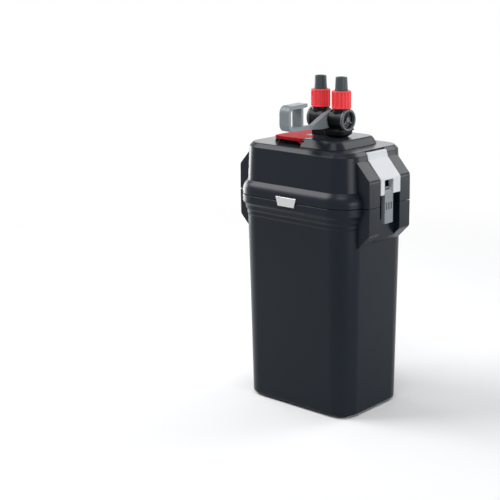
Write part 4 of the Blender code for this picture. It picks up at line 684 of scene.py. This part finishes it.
def nut_profile():
    """(radius, height, depth of the ribs) up the outside, over the top to the mouth and down the bore.

    The wall has a point every 1.2 mm, so that the ribs can fade in and out along it.
    """
    foot = rounded([(THREAD_R, NUT_LOW), (GRIP_R - 0.0004, NUT_LOW), (GRIP_R, NUT_LOW + 0.0008)],
                   [0, 0.0004, 0], steps=5)
    wall = np.linspace(NUT_LOW + 0.0012, NUT_TOP - 0.0030, 18)
    crest = rounded([(GRIP_R, NUT_TOP - 0.0026), (GRIP_R, NUT_TOP - 0.0018), (0.0128, NUT_TOP),
                     (MOUTH_R, NUT_TOP)], [0, 0.0012, 0.0012, 0], steps=5)
    outer = np.concatenate([foot, np.column_stack([np.full(len(wall), GRIP_R), wall]), crest])
    rising = np.clip((outer[:, 1] - NUT_LOW - 0.0008) / 0.0012, 0, 1)
    falling = np.clip((NUT_TOP - 0.0014 - outer[:, 1]) / 0.0018, 0, 1)
    outer = np.column_stack([outer, RIB_DEEP * rising * falling])
    bore = np.array([(MOUTH_R, NUT_TOP - 0.0047, 0), (THREAD_R, NUT_TOP - 0.0047, 0)])
    return np.concatenate([outer, bore])


for tag, x in PORTS.items():
    grid = lathe(nut_profile(), (x, 0.0, 0.0), around=RIBS * 12, ripple=rib_wave)
    settle(skin("lock_nut_" + tag + "_ribbed", grid, RED, loop=True, sharp=50), "lock_nut_" + tag)
print("nut height", round(NUT_TOP - NUT_LOW, 4))

# %% [markdown]
# The hose stems are plain tapered tubes of dark plastic.  The left one shows a
# narrow groove where its sleeve is split: a dip of the radius at one angle.

# %% Hose stems
STEM_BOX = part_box("hose_connector_left")
STEM_LOW, STEM_TOP = STEM_BOX[0][2], STEM_BOX[1][2]
GROOVE_OF = {"left": 0.0011, "right": 0.0}
SPLIT_AT, SPLIT_WIDE = math.radians(-31), 0.085


def split_at(angle, width):
    """A narrow dip of depth one round an angle: minus the exponential of minus the squared distance."""
    def wave(u):
        away = np.angle(np.exp(1j * (u - angle)))
        return -np.exp(-(away / width) ** 2)
    return wave


def stem_profile(groove):
    """(radius, height, groove) up the outside, over the rounded mouth and down the bore."""
    seat = NUT_TOP - 0.0050
    outer = rounded([(0.0110, STEM_LOW), (0.0110, seat), (0.0094, seat), (0.0094, NUT_TOP + 0.0010),
                     (0.0090, NUT_TOP + 0.0022), (0.0082, STEM_TOP), (0.0068, STEM_TOP)],
                    [0, 0.0004, 0, 0.0004, 0.0006, 0.0009, 0], steps=4)
    tall = (outer[:, 1] > NUT_TOP + 0.0015) & (outer[:, 0] > 0.0078)
    rows = np.column_stack([outer, np.where(tall, groove, 0.0)])
    bore = np.array([(0.0062, STEM_TOP - 0.0008, 0), (0.0060, STEM_TOP - 0.004, 0), (0.0060, STEM_LOW, 0)])
    return np.concatenate([rows, bore])


for tag, x in PORTS.items():
    grid = lathe(stem_profile(GROOVE_OF[tag]), (x, 0.0, 0.0), around=120,
                 ripple=split_at(SPLIT_AT, SPLIT_WIDE))
    settle(skin("hose_stem_" + tag, grid, STEM, loop=True), "hose_connector_" + tag)
print("stem top", round(STEM_TOP, 4))

# %% [markdown]
# ## The valve's barrels
#
# Each barrel is a turned body along X with a proud ring at its outer end, and a
# collar on top that the nut screws on.  Both are lathe surfaces, one about X and
# one about Z, that run into each other as the moulding does.

# %% Barrels, collars and end plugs
AXIS_Z = 0.4172
VALVE_X = 0.0140
BARREL_R = 0.0150
BARREL_IN, BARREL_OUT = 0.0050, 0.0330


def about_x(rows, side):
    """A (radius, distance from the valve's middle) profile spun about the valve's axis, on one side."""
    rows = np.asarray(rows) * (1.0, side)
    return lathe(rows if side > 0 else rows[::-1], (VALVE_X, 0.0, AXIS_Z), axis='X', around=72)


def barrel(tag, side):
    """The barrel's own tube, its grey end ring, the collar on top and the spokes of its end plug."""
    inner, outer = BARREL_IN, BARREL_OUT
    ring_low = outer - 0.0046
    body = rounded([(0.0053, inner), (0.0142, inner), (BARREL_R, inner + 0.0010), (BARREL_R, ring_low),
                    (0.0123, ring_low)], [0, 0.0004, 0.0006, 0.0002, 0], steps=3)
    bore = np.array([(0.0123, inner + 0.0030), (0.0053, inner + 0.0030)])
    tube = skin("valve_barrel_%s_turned" % tag, about_x(np.concatenate([body, bore]), side), BLACK, loop=True)
    settle(tube, "valve_barrel_" + tag)
    rim = rounded([(0.0123, ring_low), (BARREL_R, ring_low), (BARREL_R + 0.0008, ring_low + 0.0006),
                   (BARREL_R + 0.0008, outer - 0.0006), (BARREL_R, outer), (0.0129, outer),
                   (0.0123, outer - 0.0006)],
                  [0, 0.0003, 0.0004, 0.0004, 0.0004, 0.0003, 0], steps=3)
    ring = skin("valve_ring_" + tag, about_x(rim, side), RING, loop=True)
    settle(ring, "valve_barrel_" + tag)
    top = AXIS_Z + BARREL_R
    collar = rounded([(0.0060, top + 0.0123), (0.0112, top + 0.0123), (0.0112, top + 0.0016),
                      (0.0128, top + 0.0010), (0.0128, top - 0.0030), (0.0122, top - 0.0100),
                      (0.0060, top - 0.0026)],
                     [0, 0.0005, 0.0004, 0.0004, 0.001, 0, 0], steps=3)[::-1]
    piece = skin("valve_collar_" + tag, lathe(collar, (PORTS[tag], 0.0, 0.0), around=64), BLACK, loop=True)
    settle(piece, "valve_barrel_" + tag)
    face = outer - 0.0040
    plug = rounded([(0.0, outer - 0.0060), (0.0120, outer - 0.0060), (0.0120, face), (0.0, face)],
                   [0, 0.0003, 0.0003, 0], steps=3)[1:-1]
    settle(skin("valve_plug_" + tag, about_x(plug, side), BLACK), "valve_cap_" + tag)
    spoke = np.array([(-0.0009, 0.0), (0.0009, 0.0), (0.0009, 0.0101), (-0.0009, 0.0101)])
    near, far = sorted((VALVE_X + side * (face - 0.0005), VALVE_X + side * (face + 0.0016)))
    grids = []
    for turn in np.arange(3) * 2 * np.pi / 3:
        around = np.array([(math.cos(turn), math.sin(turn)), (-math.sin(turn), math.cos(turn))])
        grids.append(prism(spoke @ around + (0.0, AXIS_Z), near, far, axis='X', edge=0.0003))
    hub = rounded([(0.0001, face - 0.0005), (0.0036, face - 0.0005), (0.0036, face + 0.0022),
                   (0.0001, face + 0.0022)], [0, 0, 0.0005, 0], steps=3)
    grids.append(about_x(hub, side))
    settle(joined("valve_spokes_" + tag, grids, RING), "valve_cap_" + tag)


for tag, side in (("left", -1), ("right", 1)):
    barrel(tag, side)
print("valve barrels reach", round(VALVE_X + BARREL_OUT, 4))

# %% [markdown]
# ## The studio
#
# The floor is plain pale paper, and everything behind it is white.  A white
# backdrop lit from the front would throw its light on the filter as well, so the
# white is painted for the rays that look at it: camera, glossy and transmission
# rays see a white world, while diffuse rays see a dim one.  Near the filter the
# floor keeps its own shade and the shadow, and further out it fades to that white.

# %% Floor and backdrop


def add_looking(tree):
    """One for a ray that looks at things, from the camera, a gloss or a glass, and zero for the others."""
    path = tree.nodes.new('ShaderNodeLightPath')
    first = add_node(tree, 'ShaderNodeMath', operation='MAXIMUM')
    tree.links.new(path.outputs['Is Camera Ray'], first.inputs[0])
    tree.links.new(path.outputs['Is Glossy Ray'], first.inputs[1])
    second = add_node(tree, 'ShaderNodeMath', operation='MAXIMUM')
    tree.links.new(first.outputs[0], second.inputs[0])
    tree.links.new(path.outputs['Is Transmission Ray'], second.inputs[1])
    return second.outputs[0]


paper = bpy.data.materials.new("studio_paper")
paper.use_nodes = True
tree = paper.node_tree
sheet = tree.nodes['Principled BSDF']
sheet.inputs['Roughness'].default_value = 0.9
place = tree.nodes.new('ShaderNodeTexCoord')
mottle = add_node(tree, 'ShaderNodeTexNoise', Scale=3.0, Detail=2.0)
tone = tree.nodes.new('ShaderNodeMapRange')
tone.inputs['To Min'].default_value = 0.80
tone.inputs['To Max'].default_value = 0.84
tree.links.new(place.outputs['Object'], mottle.inputs['Vector'])
tree.links.new(mottle.outputs['Fac'], tone.inputs['Value'])
tree.links.new(tone.outputs[0], sheet.inputs['Base Color'])
away = add_node(tree, 'ShaderNodeVectorMath', operation='LENGTH')
tree.links.new(place.outputs['Object'], away.inputs[0])
fade = add_node(tree, 'ShaderNodeMapRange', interpolation_type='SMOOTHSTEP')
fade.inputs['From Min'].default_value = 0.45
fade.inputs['From Max'].default_value = 1.40
tree.links.new(away.outputs['Value'], fade.inputs['Value'])
share = add_node(tree, 'ShaderNodeMath', operation='MULTIPLY')
tree.links.new(fade.outputs[0], share.inputs[0])
tree.links.new(add_looking(tree), share.inputs[1])
white = add_node(tree, 'ShaderNodeEmission', Strength=1.0)
blend = tree.nodes.new('ShaderNodeMixShader')
tree.links.new(share.outputs[0], blend.inputs['Fac'])
tree.links.new(sheet.outputs[0], blend.inputs[1])
tree.links.new(white.outputs[0], blend.inputs[2])
tree.links.new(blend.outputs[0], tree.nodes['Material Output'].inputs['Surface'])

FLOOR_R, FLOOR_POINTS = 3.0, 96
u = np.arange(FLOOR_POINTS) * 2 * np.pi / FLOOR_POINTS
disc = np.stack([FLOOR_R * np.cos(u), FLOOR_R * np.sin(u), np.zeros(FLOOR_POINTS)], axis=-1)
floor = mesh_of("studio_floor", disc, [list(range(FLOOR_POINTS))], paper)
print("floor", floor.name)

# %% [markdown]
# Dark plastic shows little but what it mirrors.  So each soft light stands where
# one face of the filter mirrors it towards the camera: a view ray d that meets a
# face with the normal n leaves along d - 2 (d . n) n.  The one above the left
# lights the bevels at the front, the ones behind light the slopes and sides at
# the right, and the low one behind lights the flat deck.

# %% Lights
LIGHTS = {"above_left": ((-1.07, -0.68, 1.46), 0.34, 0.95, 24.0),
          "above_right": ((0.52, -0.80, 1.78), 0.34, 0.9, 10.0),
          "above_back": ((0.52, 1.30, 1.35), 0.34, 0.75, 9.0),
          "key_right": ((1.72, -0.28, 0.42), 0.30, 0.75, 11.0),
          "rim_right": ((1.14, 1.32, 0.36), 0.30, 0.6, 6.0),
          "rim_left": ((-1.25, 0.12, 0.32), 0.22, 0.6, 8.0),
          "low_back": ((-0.94, 1.35, 0.80), 0.38, 0.8, 2.6)}


def soft_light(name, place, aim_high, size, power):
    """A square area light at a place, turned to aim at the filter's middle line at a height."""
    light = bpy.data.lights.new(name, 'AREA')
    light.shape = 'SQUARE'
    light.size = size
    light.energy = power
    obj = bpy.data.objects.new(name, light)
    bpy.context.scene.collection.objects.link(obj)
    obj.location = place
    obj.rotation_euler = (Vector((0, 0, aim_high)) - Vector(place)).to_track_quat('-Z', 'Y').to_euler()


for name, (place, aim_high, size, power) in LIGHTS.items():
    soft_light(name, place, aim_high, size, power)

world = bpy.data.worlds.new("studio_air")
bpy.context.scene.world = world
world.use_nodes = True
tree = world.node_tree
dim = tree.nodes['Background']
dim.inputs['Color'].default_value = (0.9, 0.93, 1.0, 1.0)
dim.inputs['Strength'].default_value = 0.25
bright = add_node(tree, 'ShaderNodeBackground', Color=(1.0, 1.0, 1.0, 1.0), Strength=1.0)
either = tree.nodes.new('ShaderNodeMixShader')
tree.links.new(add_looking(tree), either.inputs['Fac'])
tree.links.new(dim.outputs[0], either.inputs[1])
tree.links.new(bright.outputs[0], either.inputs[2])
tree.links.new(either.outputs[0], tree.nodes['World Output'].inputs['Surface'])
bpy.context.scene.view_settings.view_transform = 'Standard'
print("lights:", len(LIGHTS))
